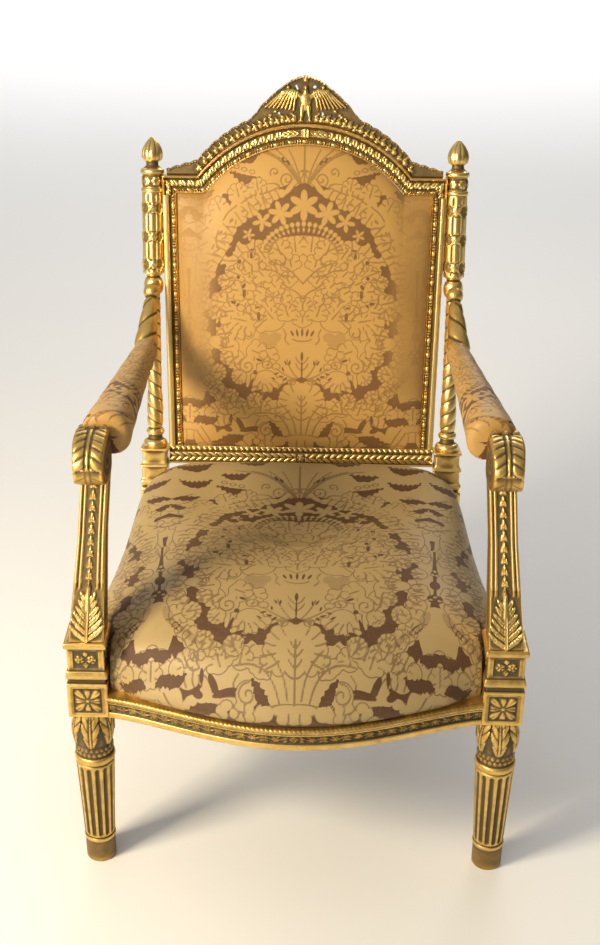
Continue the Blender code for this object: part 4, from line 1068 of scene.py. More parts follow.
class Damask:
    """Mirrored woven pattern as signed fields: four layers of figure, dark cuts, and drawn strokes."""

    def __init__(self, x, s):
        self.x, self.s = np.abs(x), s
        self.layers = [np.full(self.x.shape, -40.0) for _ in range(4)]
        self.dark, self.hatch = (np.full(self.x.shape, -40.0) for _ in range(2))
        self.lines = np.full(self.x.shape, 40.0)

    def draw(self, shapes):
        for field, ovals in zip([*self.layers, self.dark, self.hatch], shapes["ovals"]):
            for oval in ovals:
                self.oval(field, *oval)
        for pitch, depth, *knots in shapes["rings"]:
            self.ring(knots, pitch, depth)
        for layer, first, last, inward, notch, *knots in shapes["lobes"]:
            self.lobed(self.layers[layer], knots, (first, last), inward, notch)
        for layer, *place in shapes["palmettes"]:
            self.palmette(self.layers[layer], *place)
        for place in shapes["spirals"]:
            self.spiral(*place)
        for width, lines in shapes["strokes"].items():
            for knots in lines:
                self.stroke(np.reshape(knots, (-1, 2)), width)

    def oval(self, field, cx, cy, rx, ry=None, turn=0.0):
        ry = ry or rx
        c, s = math.cos(math.radians(turn)), math.sin(math.radians(turn))
        dx, dy = self.x - cx, self.s - cy
        size = np.hypot((dx * c + dy * s) / rx, (dy * c - dx * s) / ry)
        np.maximum(field, (1 - size) * min(rx, ry), out=field)

    def near(self, first, second):
        """Distance from the straight line between two points, and the share of it passed."""
        (ax, ay), (bx, by) = first, second
        dx, dy = bx - ax, by - ay
        share = unit(((self.x - ax) * dx + (self.s - ay) * dy) / (dx * dx + dy * dy))
        return np.hypot(self.x - ax - share * dx, self.s - ay - share * dy), share

    def stroke(self, knots, width, rounds=2):
        """Thin dark line through the knots."""
        line = smooth_line(knots, rounds)
        best = np.minimum.reduce([self.near(*ends)[0] for ends in zip(line[:-1], line[1:])])
        np.minimum(self.lines, best - width, out=self.lines)

    def ring(self, knots, pitch, depth):
        """Dark ground along a line of (x, s, half width), with scalloped edges."""
        line = smooth_line(np.reshape(knots, (-1, 3)).astype(float), 1)
        place = 0.0
        for first, second in zip(line[:-1], line[1:]):
            away, share = self.near(first[:2], second[:2])
            dx, dy, swell = second - first
            side = np.sign((self.x - first[0]) * dy - (self.s - first[1]) * dx)
            size = math.hypot(dx, dy)
            scallop = depth * np.abs(np.sin((place + share * size + side * 2.2) * math.pi / pitch))
            np.maximum(self.dark, first[2] + swell * share - away - scallop, out=self.dark)
            place += size

    def lobed(self, field, knots, radii, inward, notch):
        """Leaf edge of round lobes along a line, with a short vein from each notch into the leaf."""
        line = smooth_line(np.reshape(knots, (-1, 2)).astype(float))
        steps = run_length(line)
        place, centres = 0.0, []
        while place <= steps[-1] + 1e-6:
            radius = radii[0] + (radii[1] - radii[0]) * place / steps[-1]
            centres.append((*(np.interp(place, steps, line[:, axis]) for axis in (0, 1)), radius))
            self.oval(field, *centres[-1])
            place += radius * 1.45
        for first, second in zip(np.array(centres[:-1]), np.array(centres[1:])):
            (mx, my, size), (tx, ty) = (first + second) / 2, (second - first)[:2]
            middle, along = np.array((mx, my)), np.array((tx, ty)) / math.hypot(tx, ty)
            into = inward * np.array((along[1], -along[0]))
            vein = [middle - into * size * 0.75, middle + into * size * 0.1]
            self.stroke(np.array([*vein, middle + (into * notch + along * 0.35) * size]), 1.0)

    def palmette(self, field, cx, cy, radius, angle, lobes=6, spread=210.0):
        """Fan of round lobes about a point, with a short vein in each notch and one up the middle."""
        def spot(turn, share):
            return cx + radius * share * math.cos(turn), cy + radius * share * math.sin(turn)

        self.oval(field, cx, cy, radius * 0.80)
        for step in range(lobes):
            turn = math.radians(angle + spread * (step / (lobes - 1) - 0.5))
            self.oval(field, *spot(turn, 0.74), radius * math.sin(math.radians(spread / lobes / 2)) * 1.15)
            if step < lobes - 1:
                turn += math.radians(spread / (lobes - 1) / 2)
                self.stroke(np.array([spot(turn, 0.86), spot(turn, 0.50)]), 0.9)
        turn = math.radians(angle)
        self.stroke(np.array([spot(turn, -0.3), spot(turn, 0.45)]), 1.1)

    def spiral(self, cx, cy, radius, rounds, start, hand, width):
        share = np.linspace(0, 1, 14)
        angle = math.radians(start) + hand * rounds * TURN * share
        size = radius * (1 - 0.85 * share)
        self.stroke(np.stack([cx + size * np.cos(angle), cy + size * np.sin(angle)], axis=1), width, 1)


# Each oval: x, s, radii, turn; its row is a layer of the figure, dark cuts or hatching. Each ring: pitch
# and depth of its scallops, then points with half widths. Each row of lobes: layer, first and last
# radius, side of the veins, length of the veins, points. Each palmette: layer, x, s, radius, direction,
# lobes, spread. Each spiral: x, s, radius, turns, start, hand, half width. Each stroke, under its half
# width: points.

# Serrated columns of leaves between the medallions, in millimetres.
COLUMNS = {
    "ovals": (
        (
            (204, 330, 30, 26), (190, 260, 12, 70), (218, 260, 12, 70), (192, 180, 10, 50), (216, 180, 10,
            50), (204, 90, 30, 44), (204, 30, 40, 44), (186, 348, 24, 7, 28), (222, 348, 24, 7, -28), (186,
            372, 24, 7, 28), (222, 372, 24, 7, -28), (186, 396, 24, 7, 28), (222, 396, 24, 7, -28), (186,
            420, 24, 7, 28), (222, 420, 24, 7, -28), (186, 444, 24, 7, 28), (222, 444, 24, 7, -28),
        ),
        (),
        (),
        (
            (204, 218, 3.2), (200.6, 209, 3.2), (207.4, 209, 3.2), (198, 150, 3.2), (204, 157, 3.2), (210,
            150, 3.2),
        ),
        ((204, 212, 6, 9), (204, 184, 8, 10), (204, 152, 12, 10)),
        ((185, 112, 7, 15, -28), (223, 112, 7, 15, 28)),
    ),
    "rings": (),
    "lobes": (
        (0, 8, 9, 1, 1, 182, 320, 176, 296, 174, 268, 176, 240, 174, 212, 178, 186, 182, 160, 186, 136), (0,
        8, 9, -1, 1, 224, 320, 232, 296, 234, 268, 230, 240, 232, 212, 228, 186, 224, 160, 224, 136),
    ),
    "palmettes": ((1, 204, 38, 30, 90, 9, 330), (2, 204, 36, 15, 90, 6, 300)),
    "spirals": (),
    "strokes": {
        1: (
            (170, 352, 188, 340, 204, 334), (238, 352, 220, 340, 204, 334), (170, 376, 188, 364, 204, 358),
            (238, 376, 220, 364, 204, 358), (170, 400, 188, 388, 204, 382), (238, 400, 220, 388, 204, 382),
            (170, 424, 188, 412, 204, 406), (238, 424, 220, 412, 204, 406), (170, 448, 188, 436, 204, 430),
            (238, 448, 220, 436, 204, 430), (194, 258, 201, 246, 204, 232), (214, 258, 207, 246, 204, 232),
        ),
    },
}

# Vase of leaves and flowers inside a garland, 0.47 m high, in millimetres.
MEDALLION = {
    "ovals": (
        (
            (86, 44, 46, 34, -8), (56, 44, 32, 26), (122, 52, 26, 20), (40, 30, 22, 38, -28), (12, 24, 18,
            44), (64, 108, 30, 26), (42, 120, 24, 22), (84, 114, 16, 22), (112, 80, 18, 14), (140, 96, 24,
            18, 40), (164, 120, 18, 22, 30), (178, 150, 14, 22), (182, 190, 14, 40), (118, 158, 30, 32),
            (110, 186, 32, 26), (70, 180, 44, 46), (30, 150, 50, 46), (0, 205, 90, 66), (142, 238, 20, 22),
            (120, 250, 30, 22), (0, 290, 118, 62), (0, 330, 74, 36), (74, 302, 66, 50), (100, 262, 30, 24),
            (0, 520, 60, 72), (60, 506, 62, 60, 12), (130, 500, 70, 64, -10), (190, 470, 50, 90), (100, 560,
            140, 50),
        ),
        (
            (0, -8, 34, 9), (40, -12, 13, 12), (50, -19, 9, 8), (176, -2, 21, 26, 20), (142, -2, 26, 10,
            -24), (136, 8, 22, 8, -32), (150, -14, 18, 6, -16), (94, -1, 24, 7, -6), (121, 13, 8, 21, -22),
            (112, 2, 12, 8, -40), (0, 66, 22, 36), (20, 66, 16, 20), (64, 108, 20, 16), (158, 180, 20, 22),
            (58, 214, 26, 19), (44, 222, 16, 14),
        ),
        (
            (70, -12, 12, 10), (106, -16, 17, 14, 8), (92, -4, 9, 7), (176, -27, 16, 7, 10), (148, 28, 17,
            13, 10), (166, 40, 11, 13), (63, 9, 16.5), (98, 102, 5, 18, 10), (90, 84, 14, 5, -42), (74, 76,
            13, 4.5, 2), (18, 103, 7, 6), (62, 134, 9, 7), (46, 131, 7, 6), (98, 131, 17, 16), (124, 124,
            16, 12, 12), (98, 131, 17, 16), (112, 212, 26, 26), (100, 196, 16, 14),
        ),
        (
            (165.76, 91.04, 3.6), (172, 96, 3.6), (178.24, 100.96, 3.6), (110, 236, 7, 6), (96, 234, 5, 7),
            (92, 248, 6, 5), (0, 386, 4.4, 5, 0), (0, 376, 2.6, 5.4, 0), (10.3, 385.46, 4.4, 5, -8), (9.19,
            375.55, 2.6, 5.4, -8), (20.4, 383.83, 4.4, 5, -16), (18.19, 374.22, 2.6, 5.4, -16), (30.1,
            381.16, 4.4, 5, -24), (26.84, 372.02, 2.6, 5.4, -24), (39.21, 377.49, 4.4, 5, -32), (34.97,
            369.01, 2.6, 5.4, -32), (47.57, 372.9, 4.4, 5, -40), (42.42, 365.24, 2.6, 5.4, -40), (54.99,
            367.47, 4.4, 5, -48), (49.05, 360.78, 2.6, 5.4, -48), (61.35, 361.31, 4.4, 5, -56), (54.72,
            355.72, 2.6, 5.4, -56), (66.51, 354.55, 4.4, 5, -64), (59.32, 350.17, 2.6, 5.4, -64), (70.38,
            347.3, 4.4, 5, -72), (62.77, 344.21, 2.6, 5.4, -72), (72.88, 339.72, 4.4, 5, -80), (65, 337.99,
            2.6, 5.4, -80), (0, 418, 7.56), (0, 433.66, 12.42, 6.48, 90), (-13.56, 425.83, 12.42, 6.48,
            150), (-13.56, 410.17, 12.42, 6.48, 210), (0, 402.34, 12.42, 6.48, 270), (13.56, 410.17, 12.42,
            6.48, 330), (13.56, 425.83, 12.42, 6.48, 390), (41, 404, 6.16), (45.36, 415.99, 10.12, 5.28,
            70), (32.8, 413.77, 10.12, 5.28, 130), (28.43, 401.78, 10.12, 5.28, 190), (36.64, 392.01, 10.12,
            5.28, 250), (49.2, 394.23, 10.12, 5.28, 310), (53.57, 406.22, 10.12, 5.28, 370), (73, 389,
            5.04), (78.22, 398.04, 8.28, 4.32, 60), (66.01, 396.76, 8.28, 4.32, 132), (63.46, 384.75, 8.28,
            4.32, 204), (74.09, 378.62, 8.28, 4.32, 276), (83.21, 386.83, 8.28, 4.32, 348), (97, 366, 3.36),
            (102.33, 370.47, 5.52, 2.88, 40), (94.39, 372.45, 5.52, 2.88, 112), (90.06, 365.51, 5.52, 2.88,
            184), (95.32, 359.25, 5.52, 2.88, 256), (102.9, 362.31, 5.52, 2.88, 328), (14, 462, 19, 5.5,
            -50), (26, 447, 15, 5, -52), (70, 440, 28, 12, -20), (104, 424, 28, 18, -32), (140, 392, 26, 26,
            -50), (160, 346, 22, 36), (178, 300, 14, 34), (152, 173, 17, 12, 8), (92, 474, 5, 3.4, 12),
            (106, 478, 5, 3.4, 12), (120, 482, 5, 3.4, 12),
        ),
        (
            (95, 11, 18, 4.5, -14), (111, 21, 5, 14, -28), (133, 10, 8, 5, 20), (156, -17, 9, 3), (128, 31,
            3, 10), (140, 14, 15, 3, -24), (118, -27, 10, 4), (46, 84, 5, 10, -32), (80, 73, 11, 3, 4), (50,
            72, 5, 4), (92, 96, 2.6, 15, 20), (80, 84, 10, 2.4, -24), (172, 96, 14, 5, 38), (84, 120, 4, 4),
            (77, 143, 6, 2.4, 20), (0, 150, 2.6, 9), (0, 126, 1.5, 22), (29, 138, 5.5, 1.7, 60), (37, 113,
            5.5, 1.7, 12), (46, 118, 5.5, 1.7, -20), (51, 109, 5.5, 1.7, 30), (34, 126, 5.5, 1.7, 70), (30,
            108, 5.5, 1.7, -40), (22, 138, 5.5, 1.7, 100), (0, 194, 2.1, 8, 0), (9, 193.1, 2.1, 7.5, -12),
            (18, 192.2, 2.1, 6.5, -28), (78, 222, 3, 8), (104, 262, 3, 8), (123, 246, 5, 3), (115, 240, 3,
            5), (80, 238, 4, 2), (115, 291, 3.4, 3.4), (113, 319, 3.6, 3.6), (92, 330, 2.6, 6), (0, 363,
            1.5, 3), (90, 340, 5, 1.8), (105, 276, 3, 5, 30), (0, 418, 56, 33), (0, 444, 16, 12), (58, 396,
            36, 24, -28), (84, 384, 30, 20, -24), (96, 374, 16, 14), (0, 388, 62, 8),
        ),
        (
            (150, 82, 22, 5, 38), (186, 112, 7, 15, -28), (48, 185, 11, 9), (68, 185, 10, 9), (58, 175, 13,
            12),
        ),
    ),
    "rings": (
        (9, 4.5, 34, -4, 4, 43, 5, 10, 50, 18, 8, 60, 28, 4), (9, 4.5, 104, -4, 4, 118, -11, 12, 134, -8,
        11, 150, -14, 5), (9, 4.5, 150, 34, 4, 166, 24, 11, 182, 28, 10, 196, 22, 5), (9, 4.5, 172, 62, 4,
        186, 54, 11, 200, 60, 9), (13, 6.5, 60, 80, 7, 72, 74, 9, 90, 76, 12, 110, 88, 17, 130, 106, 19,
        144, 126, 17, 152, 146, 13, 155, 162, 8), (13, 6.5, 160, 188, 9, 166, 204, 15, 170, 218, 15, 168,
        230, 8), (11, 5, 150, 270, 9, 154, 284, 16, 150, 296, 13, 140, 310, 7), (9, 3, 132, 332, 8, 122,
        346, 6), (11, 4, 104, 358, 12, 92, 368, 11), (10, 5, 76, 464, 5, 92, 457, 11, 112, 462, 9, 130, 474,
        5), (10, 5, 158, 378, 5, 176, 386, 12, 192, 398, 11, 204, 412, 6), (10, 5, 160, 440, 5, 178, 430,
        12, 196, 432, 8), (10, 5, 140, 486, 5, 158, 474, 11, 180, 474, 9, 196, 484, 5), (10, 5, 80, 504, 5,
        102, 495, 11, 124, 500, 6), (10, 5, 142, 528, 5, 160, 515, 12, 184, 516, 10, 204, 526, 6), (10, 5,
        48, 544, 5, 70, 532, 11, 96, 536, 6), (10, 5, 20, 486, 3, 34, 492, 6, 48, 504, 3),
    ),
    "lobes": (
        (1, 10, 9, 1, 0.9, 0, -18, 14, -19, 28, -20), (2, 8, 8, -1, 0.8, 60, -20, 74, -22, 82, -14, 72, -4,
        60, -8), (0, 11, 9, 1, 0.45, 140, 30, 144, 46, 134, 62, 118, 70, 100, 72, 84, 73, 68, 70, 52, 62),
        (1, 9, 11, 1, 1.5, 22, 40, 34, 54, 36, 72, 26, 88, 12, 95, 0, 97), (1, 7, 7, -1, 1.3, 40, 104, 52,
        93, 66, 88, 78, 92, 86, 104), (0, 9, 9, -1, 0.45, 98, 77, 112, 84, 126, 94, 138, 104, 150, 116, 160,
        128, 168, 142, 176, 158, 178, 176), (0, 9, 9, 1, 0.45, 128, 58, 146, 70, 162, 84, 178, 98, 190,
        114), (2, 5, 6, 1, 0.8, 146, 162, 142, 172, 143, 184, 149, 195), (0, 10, 11, -1, 0.45, 136, 130,
        144, 144, 143, 160, 138, 176, 136, 190), (1, 8, 8, -1, 1.2, 74, 200, 82, 210, 80, 222, 72, 230), (2,
        9, 10, 1, 1.4, 96, 190, 112, 188, 128, 194, 138, 206, 138, 220), (0, 10, 9, -1, 0.45, 160, 214, 164,
        228, 160, 244, 152, 256, 140, 262), (0, 12, 10, -1, 1.3, 132, 262, 140, 276, 138, 292, 136, 308,
        136, 324, 124, 338, 108, 346, 92, 351, 76, 347), (3, 8, 10, -1, 1.1, 40, 438, 56, 432, 72, 426, 88,
        418, 102, 408, 116, 396), (3, 10, 9, -1, 1.1, 124, 386, 130, 370, 136, 352, 146, 336, 156, 320, 164,
        304), (3, 7, 7, 1, 0.45, 60, 446, 80, 440, 98, 430, 112, 420),
    ),
    "palmettes": (
        (1, 74, 50, 17, 100, 6, 210), (2, 104, 46, 18, 70, 6, 210), (1, 46, 38, 14, 110, 5, 210), (2, 134,
        44, 15, 60, 5, 210), (1, 118, 66, 17, 110, 5, 210), (2, 142, 76, 17, 130, 5, 210), (1, 160, 92, 17,
        140, 5, 210), (2, 172, 112, 16, 160, 5, 210), (1, 178, 136, 17, 175, 5, 210), (2, 184, 164, 16, 180,
        5, 210), (1, 188, 250, 15, 175, 5, 210), (2, 184, 274, 16, 180, 5, 210), (1, 150, 46, 18, 60, 6,
        210), (2, 96, 56, 18, 80, 6, 210), (1, 132, 190, 20, -6, 6, 210), (2, 128, 166, 19, -16, 6, 210),
        (1, 118, 146, 18, -34, 6, 210), (2, 84, 158, 20, 200, 5, 210), (1, 60, 150, 17, 240, 5, 210), (1,
        14, 344, 21, 84, 6, 210), (2, 42, 338, 21, 68, 6, 210), (1, 70, 330, 20, 56, 6, 210), (2, 96, 316,
        20, 40, 6, 210), (1, 116, 296, 18, 20, 6, 210), (2, 22, 316, 17, 78, 5, 210), (1, 48, 308, 18, 62,
        5, 210), (2, 74, 298, 18, 46, 5, 210), (1, 98, 282, 17, 26, 5, 210), (2, 120, 268, 16, 4, 5, 210),
        (1, 26, 286, 15, 62, 5, 210), (2, 52, 278, 16, 48, 5, 210), (1, 78, 266, 16, 30, 5, 210), (2, 98,
        252, 15, 10, 5, 210), (1, 146, 246, 17, 8, 6, 210), (2, 128, 230, 17, -8, 6, 210), (1, 0, 240, 19,
        90, 7, 210), (2, 27, 228, 18, 70, 6, 210), (1, 56, 222, 18, 50, 6, 210), (2, 82, 226, 17, 40, 6,
        210), (1, 106, 214, 19, 10, 6, 210), (2, 0, 216, 17, 90, 7, 210), (1, 64, 244, 15, 60, 5, 210), (2,
        36, 256, 15, 80, 5, 210), (3, 174, 300, 19, 185, 6, 210), (3, 166, 330, 20, 195, 6, 210), (3, 154,
        356, 20, 210, 6, 210), (3, 138, 380, 20, 225, 6, 210), (3, 118, 400, 19, 235, 6, 210), (3, 96, 414,
        18, 245, 6, 210), (3, 72, 426, 16, 250, 6, 210), (3, 150, 412, 18, 60, 6, 210), (3, 172, 378, 18,
        40, 6, 210), (3, 116, 436, 18, 75, 6, 210), (3, 186, 338, 16, 10, 5, 210), (3, 82, 448, 16, 80, 6,
        210), (3, 84, 66, 17, 70, 6, 150), (3, 112, 112, 16, -52, 6, 150), (3, 128, 74, 15, 120, 5, 150),
        (3, 152, 118, 17, 165, 6, 150), (3, 134, 146, 14, -20, 5, 150), (3, 182, 206, 14, 190, 5, 150), (3,
        156, 226, 13, 10, 5, 150), (3, 140, 284, 12, 10, 5, 150),
    ),
    "spirals": (
        (63, 9, 15, 1.35, 100, -1, 1.05), (18, 102, 6, 1, 180, -1, 0.8), (60, 133, 7, 1, 150, 1, 0.8), (98,
        131, 15.5, 1.45, 60, -1, 1.05), (94, 192, 12, 0.8, 60, -1, 1.05), (144, 224, 11, 1.1, -20, 1, 1.05),
        (30, 462, 13, 1.3, -60, 1, 1.05), (52, 474, 9, 1.1, -40, 1, 1.05),
    ),
    "strokes": {
        1: (
            (0, 42, 5.4, 46, 9, 52), (0, 55, 6, 59, 10, 65), (0, 66, 4.2, 70, 7, 76), (1, 106, 12, 114, 22,
            130, 27, 144), (1, 106, 18, 110, 34, 118, 47, 128), (3, 106, 18, 104, 32, 108), (1, 124, 8, 130,
            11, 137), (1, 136, 8, 142, 11, 149), (0, 178, 10, 178, 17, 182), (24, 172, 32, 180, 28, 190, 34,
            200), (36, 312, 30, 322, 36, 334, 50, 342), (22, 294, 40, 296, 56, 306, 74, 304, 80, 314, 72,
            322), (54, 262, 66, 274, 84, 276, 92, 286), (42, 262, 52, 256, 64, 258, 72, 250), (100, 300,
            108, 310, 104, 322), (84, 290, 92, 300, 90, 312), (28, 240, 38, 246, 40, 256), (46, 448, 62,
            440, 78, 436), (84, 436, 98, 430, 110, 420), (118, 416, 134, 404, 142, 390), (150, 372, 156,
            356, 152, 342), (2, 446, 10, 473, 20, 498, 28, 512), (2, 446, 18, 478.6, 36, 501.2, 50.4, 512),
            (2, 446, 27, 484.9, 54, 504.8, 75.6, 512), (2, 446, 37, 491.9, 74, 508.8, 103.6, 512),
        ),
        1.05: (
            (98, -24, 104, -14, 116, -10), (164, -22, 172, -4, 184, 14), (172, -24, 184, -8, 192, 6), (140,
            38, 142, 26, 138, 18), (154, 38, 154, 28, 150, 18), (80, 8, 84, 22, 76, 32), (20, 0, 26, 20, 40,
            38, 60, 45, 82, 42), (9, 4, 14, 30, 26, 50, 38, 62), (112, 122, 122, 134, 124, 148), (88, 214,
            94, 226, 106, 230), (128, 238, 136, 248, 134, 258),
        ),
        1.1: (
            (0, 0, 0, 78), (0, 254, 10, 266, 24, 272, 36, 282), (0, 281, 10, 292, 24, 306, 40, 314, 60, 320),
        ),
        1.2: ((140, 166, 146, 172, 140, 180),),
        1.3: ((0, 450, 0, 534),),
    },
}

# Woven silk.

def damask_cloth(name, figure_colour, ground_colour):
    """Satin figure on a darker matt ground; the pattern comes from fields kept at the points."""
    material, tree, shader = nodes_of(name)

    def join(operation, *values, clamp=False):
        return math_node(tree, operation, *values, clamp=clamp)

    def band_of(value, low, high, rising=True):
        inputs = {"Value": value, "From Min": low, "From Max": high, "To Min": 1.0 - rising,
                  "To Max": float(rising)}
        return add_node(tree, "ShaderNodeMapRange", inputs, interpolation_type="SMOOTHSTEP").outputs["Result"]

    figure = band_of(attribute(tree, "figure"), -0.35, 0.35)
    drawn = band_of(attribute(tree, "strokes"), -0.2, 1.0, False)
    for edge in ("seam_1", "seam_2", "seam_3"):
        drawn = join("MAXIMUM", drawn, band_of(join("ABSOLUTE", attribute(tree, edge)), 0.45, 1.25, False))
    figure = join("MULTIPLY", figure, join("MULTIPLY_ADD", drawn, -0.62, 1.0))
    place = add_node(tree, "ShaderNodeTexCoord").outputs["Object"]
    dot = add_node(tree, "ShaderNodeVectorMath", {0: place, 1: (2100.0, 1500.0, 1500.0)},
                   operation="DOT_PRODUCT")
    stripe = band_of(join("SINE", dot.outputs["Value"]), -0.2, 0.3)
    stripe = join("MULTIPLY", stripe, band_of(attribute(tree, "hatch"), -0.3, 0.3))
    figure = join("MULTIPLY", figure, join("MULTIPLY_ADD", stripe, -0.60, 1.0))
    slub, cross = (noise(tree, 1.0, 4.0, 0.6, stretch)
                   for stretch in ((900.0, 40.0, 40.0), (30.0, 700.0, 700.0)))
    thread = join("ADD", join("MULTIPLY", slub, 0.35), join("MULTIPLY", cross, 0.65))
    worn = join("MULTIPLY_ADD", noise(tree, 9.0), 0.30, -0.15)
    tone = join("ADD", join("MULTIPLY_ADD", thread, 0.60, -0.30), worn)
    tone = join("MULTIPLY_ADD", attribute(tree, "fade"), join("SUBTRACT", 0.62, figure), tone)
    share = join("ADD", figure, tone, clamp=True)
    feed(tree, shader, {
        "Base Color": mix_colour(tree, share, ground_colour, figure_colour),
        "Roughness": join("MULTIPLY_ADD", figure, -0.16, 0.62),
        "Specular IOR Level": 0.35,
        "Sheen Weight": 0.22,
        "Sheen Roughness": 0.45,
        "Sheen Tint": (1.0, 0.86, 0.62, 1.0),
        "Normal": bumped(tree, join("MULTIPLY_ADD", figure, 0.6, thread), 0.35, 0.0005),
    })
    return material


# The back's and the arms' silks are warmer, more golden copies of the seat's silk: painted warm light where
# the key lamp falls on the back and the arm pads.
silk = damask_cloth("damask_silk", (0.43, 0.305, 0.130), (0.100, 0.043, 0.018))
back_silk_painted_light = damask_cloth("damask_silk_back", (0.58, 0.335, 0.093), (0.215, 0.100, 0.030))
arm_silk_painted_light = damask_cloth("damask_silk_arm", (0.52, 0.305, 0.090), (0.115, 0.046, 0.018))

BLANK = {"figure": -5.0, "strokes": 20.0}


def woven(across, along):
    """Fields of the pattern at points given in millimetres from a medallion's middle and foot."""
    half_repeat, repeat, overlap = 204, 640, 38
    across = half_repeat - np.abs(np.abs(across) % (2 * half_repeat) - half_repeat)
    pattern = Damask(across, (along + overlap) % repeat - overlap)
    for shapes in (COLUMNS, MEDALLION):
        pattern.draw(shapes)
    low, middle, high, top = pattern.layers
    figure = np.minimum(np.maximum(np.maximum(low, middle), high), -pattern.dark)
    covered = top > 0
    return {
        "figure": np.maximum(figure, top),
        "seam_1": np.where(covered | (high > 0), np.where(middle > 0, 20.0, -20.0), middle),
        "seam_2": np.where(covered, np.where(high > 0, 20.0, -20.0), high),
        "seam_3": top,
        "strokes": pattern.lines,
        "hatch": pattern.hatch,
    }


class Cushion(Piece):
    """Closed soft form: a grid of cloth with one flat face behind its rim."""

    def cover(self, points, across, along, behind, fade=0.0):
        rows, columns = points.shape[:2]
        blank = np.zeros((rows, columns))
        start = self.add(points, blank, {**woven(across, along), "fade": fade + blank})
        self.faces(start, rows, columns, False, False)
        index = start + np.arange(rows * columns).reshape(rows, columns)
        rim = np.concatenate([index[0, :-1], index[:-1, -1], index[-1, :0:-1], index[:0:-1, 0]])
        flat = behind(points.reshape(-1, 3)[rim - start])
        low = self.add(flat, np.zeros(len(rim)),
                       {name: np.full(len(rim), value) for name, value in BLANK.items()})
        low += np.arange(len(rim))
        self.quads.append(np.stack([rim, low, np.roll(low, -1), np.roll(rim, -1)], axis=1)[:, ::-1])
        self.flat_face = low[::-1].tolist()
        return self


SEAT_FRONT = 0.002
SEAT_BACK = 0.533
SEAT_MIDDLE = 0.250
SEAT_HEIGHT = 0.127
SEAT_EDGE_HEIGHT = 0.083
SEAT_BACK_RISE = 0.064
SEAT_COUNT = 134
# Distance over the cloth from the front edge, and the level of the pattern there, in millimetres.
SEAT_PATTERN = ((-150, 48, 185, 283, 382, 496, 531, 562, 950), (-159, 0, 103, 178, 255, 364, 416, 450, 795))
BACK_PATTERN = 0.0606


def seat_profile(first, second):
    """Share of the outline and height from the middle of the seat to its lower edge, at even steps."""
    turn = np.linspace(0, math.pi / 2, 400)
    share = np.sin(turn) ** (2 / first)
    height = SEAT_HEIGHT * np.cos(turn) ** (2 / second)
    share = share * (1 - 0.012 * soft((0.02 - height) / 0.02))
    length = run_length(np.stack([share * 0.30, height], axis=1))
    even = np.linspace(0, length[-1], SEAT_COUNT + 1)
    return np.interp(even, length, share), np.interp(even, length, height)


def seat_outline(across, along):
    """Plan of the seat's lower edge for a direction, bowed at the front."""
    size = (np.abs(across) ** 7 + np.abs(along) ** 7) ** (-1 / 7)
    across, along = across * size, along * size
    y = SEAT_FRONT + (SEAT_BACK - SEAT_FRONT) * (along + 1) / 2
    x = across * (RAIL_BEAD - 0.003 - side_rail_x(np.clip(y, BLOCK, 0.5173)))
    return x, y - bow(x) * np.abs(np.minimum(along, 0)) ** 3


def lengths(points, axis):
    """Distance over the cloth along one axis of a grid, from its middle line."""
    run = run_length(points, axis)
    return run - np.take(run, [run.shape[axis] // 2], axis=axis)


def make_seat():
    """Cushion with square shoulders, a crown, pulls at its front corners, and notches for its neighbours."""
    grid = np.linspace(-1, 1, 2 * SEAT_COUNT + 1)
    u, v = np.meshgrid(grid, grid)
    t = np.maximum(np.abs(u), np.abs(v))
    safe = np.maximum(t, 1e-9)
    ring = np.rint(t * SEAT_COUNT).astype(int)
    toward_back = soft((v / safe - 0.1) / 0.8)
    loose, tight = seat_profile(3.6, 2.6), seat_profile(9.0, 4.2)
    share, height = (first[ring] + (second[ring] - first[ring]) * toward_back
                     for first, second in zip(loose, tight))
    x_edge, y_edge = seat_outline(u / safe, np.where(t > 0, v / safe, -1.0))
    x, y = x_edge * share, SEAT_MIDDLE + (y_edge - SEAT_MIDDLE) * share
    side = np.abs(x)
    height = height * (1 - 0.09 * toward_back)
    z = RAIL_TOP + GAP + height + SEAT_BACK_RISE * unit(height / SEAT_EDGE_HEIGHT) * unit(y / SEAT_BACK) ** 5
    pull = bell(side - 0.30, 0.07) * bell(y - 0.03, 0.09) * soft(height / 0.03)
    z += pull * (0.0011 * np.sin(np.arctan2(y - 0.03, side - 0.32) * 16) - 0.006)
    overhang = bell(height - 0.014, 0.020) * soft((0.27 - side) / 0.04) * soft(-(v / safe))
    y = y - 0.011 * overhang * soft(height / 0.003)
    slack = np.sin(x * 21 + 1.3) * np.sin(y * 17 + 0.4) + 0.6 * np.sin(x * 43 - y * 31)
    z += 0.0010 * slack * soft(height / 0.05)
    # Notches for the corner blocks, for the arm supports above them, and for the back posts.
    for edge_x, edge_y, low, high in ((0.2893, 0.0665, 0.0, 0.4424), (0.2905, 0.0929, 0.4295, 0.9)):
        dx, dy = side - edge_x, edge_y - y
        inside = (dx > 0) & (dy > 0) & (z > low) & (z < high)
        x = np.where(inside & (dx <= dy), np.sign(x) * edge_x, x)
        y = np.where(inside & (dx > dy), edge_y, y)
    y = np.where(side > 0.2430, np.minimum(y, 0.5168), y)
    points = np.stack([x, y, z], axis=2)
    along = lengths(points, 0)
    along = np.interp((along - along[0, SEAT_COUNT]) * 1000, *SEAT_PATTERN)

    def underside(rim):
        return rim * (0.985, 0.985, 0.0) + (0, 0.004, RAIL_TOP + GAP)

    return Cushion().cover(points, lengths(points, 1) * 1000 / 1.13, along, underside)


def opening_grid(across, up):
    """Points over the frame's opening, for shares from -1 to 1 across and up it."""
    foot = BOTTOM_BAND + GAP
    x = across * (opening_edge(foot + (SHOULDER_INNER - foot) * (up + 1) / 2) - 0.0005)
    head = inner_rise(across * (opening_edge(SHOULDER_INNER) - GAP)) - GAP * 2
    return x, foot + (head - foot) * (up + 1) / 2


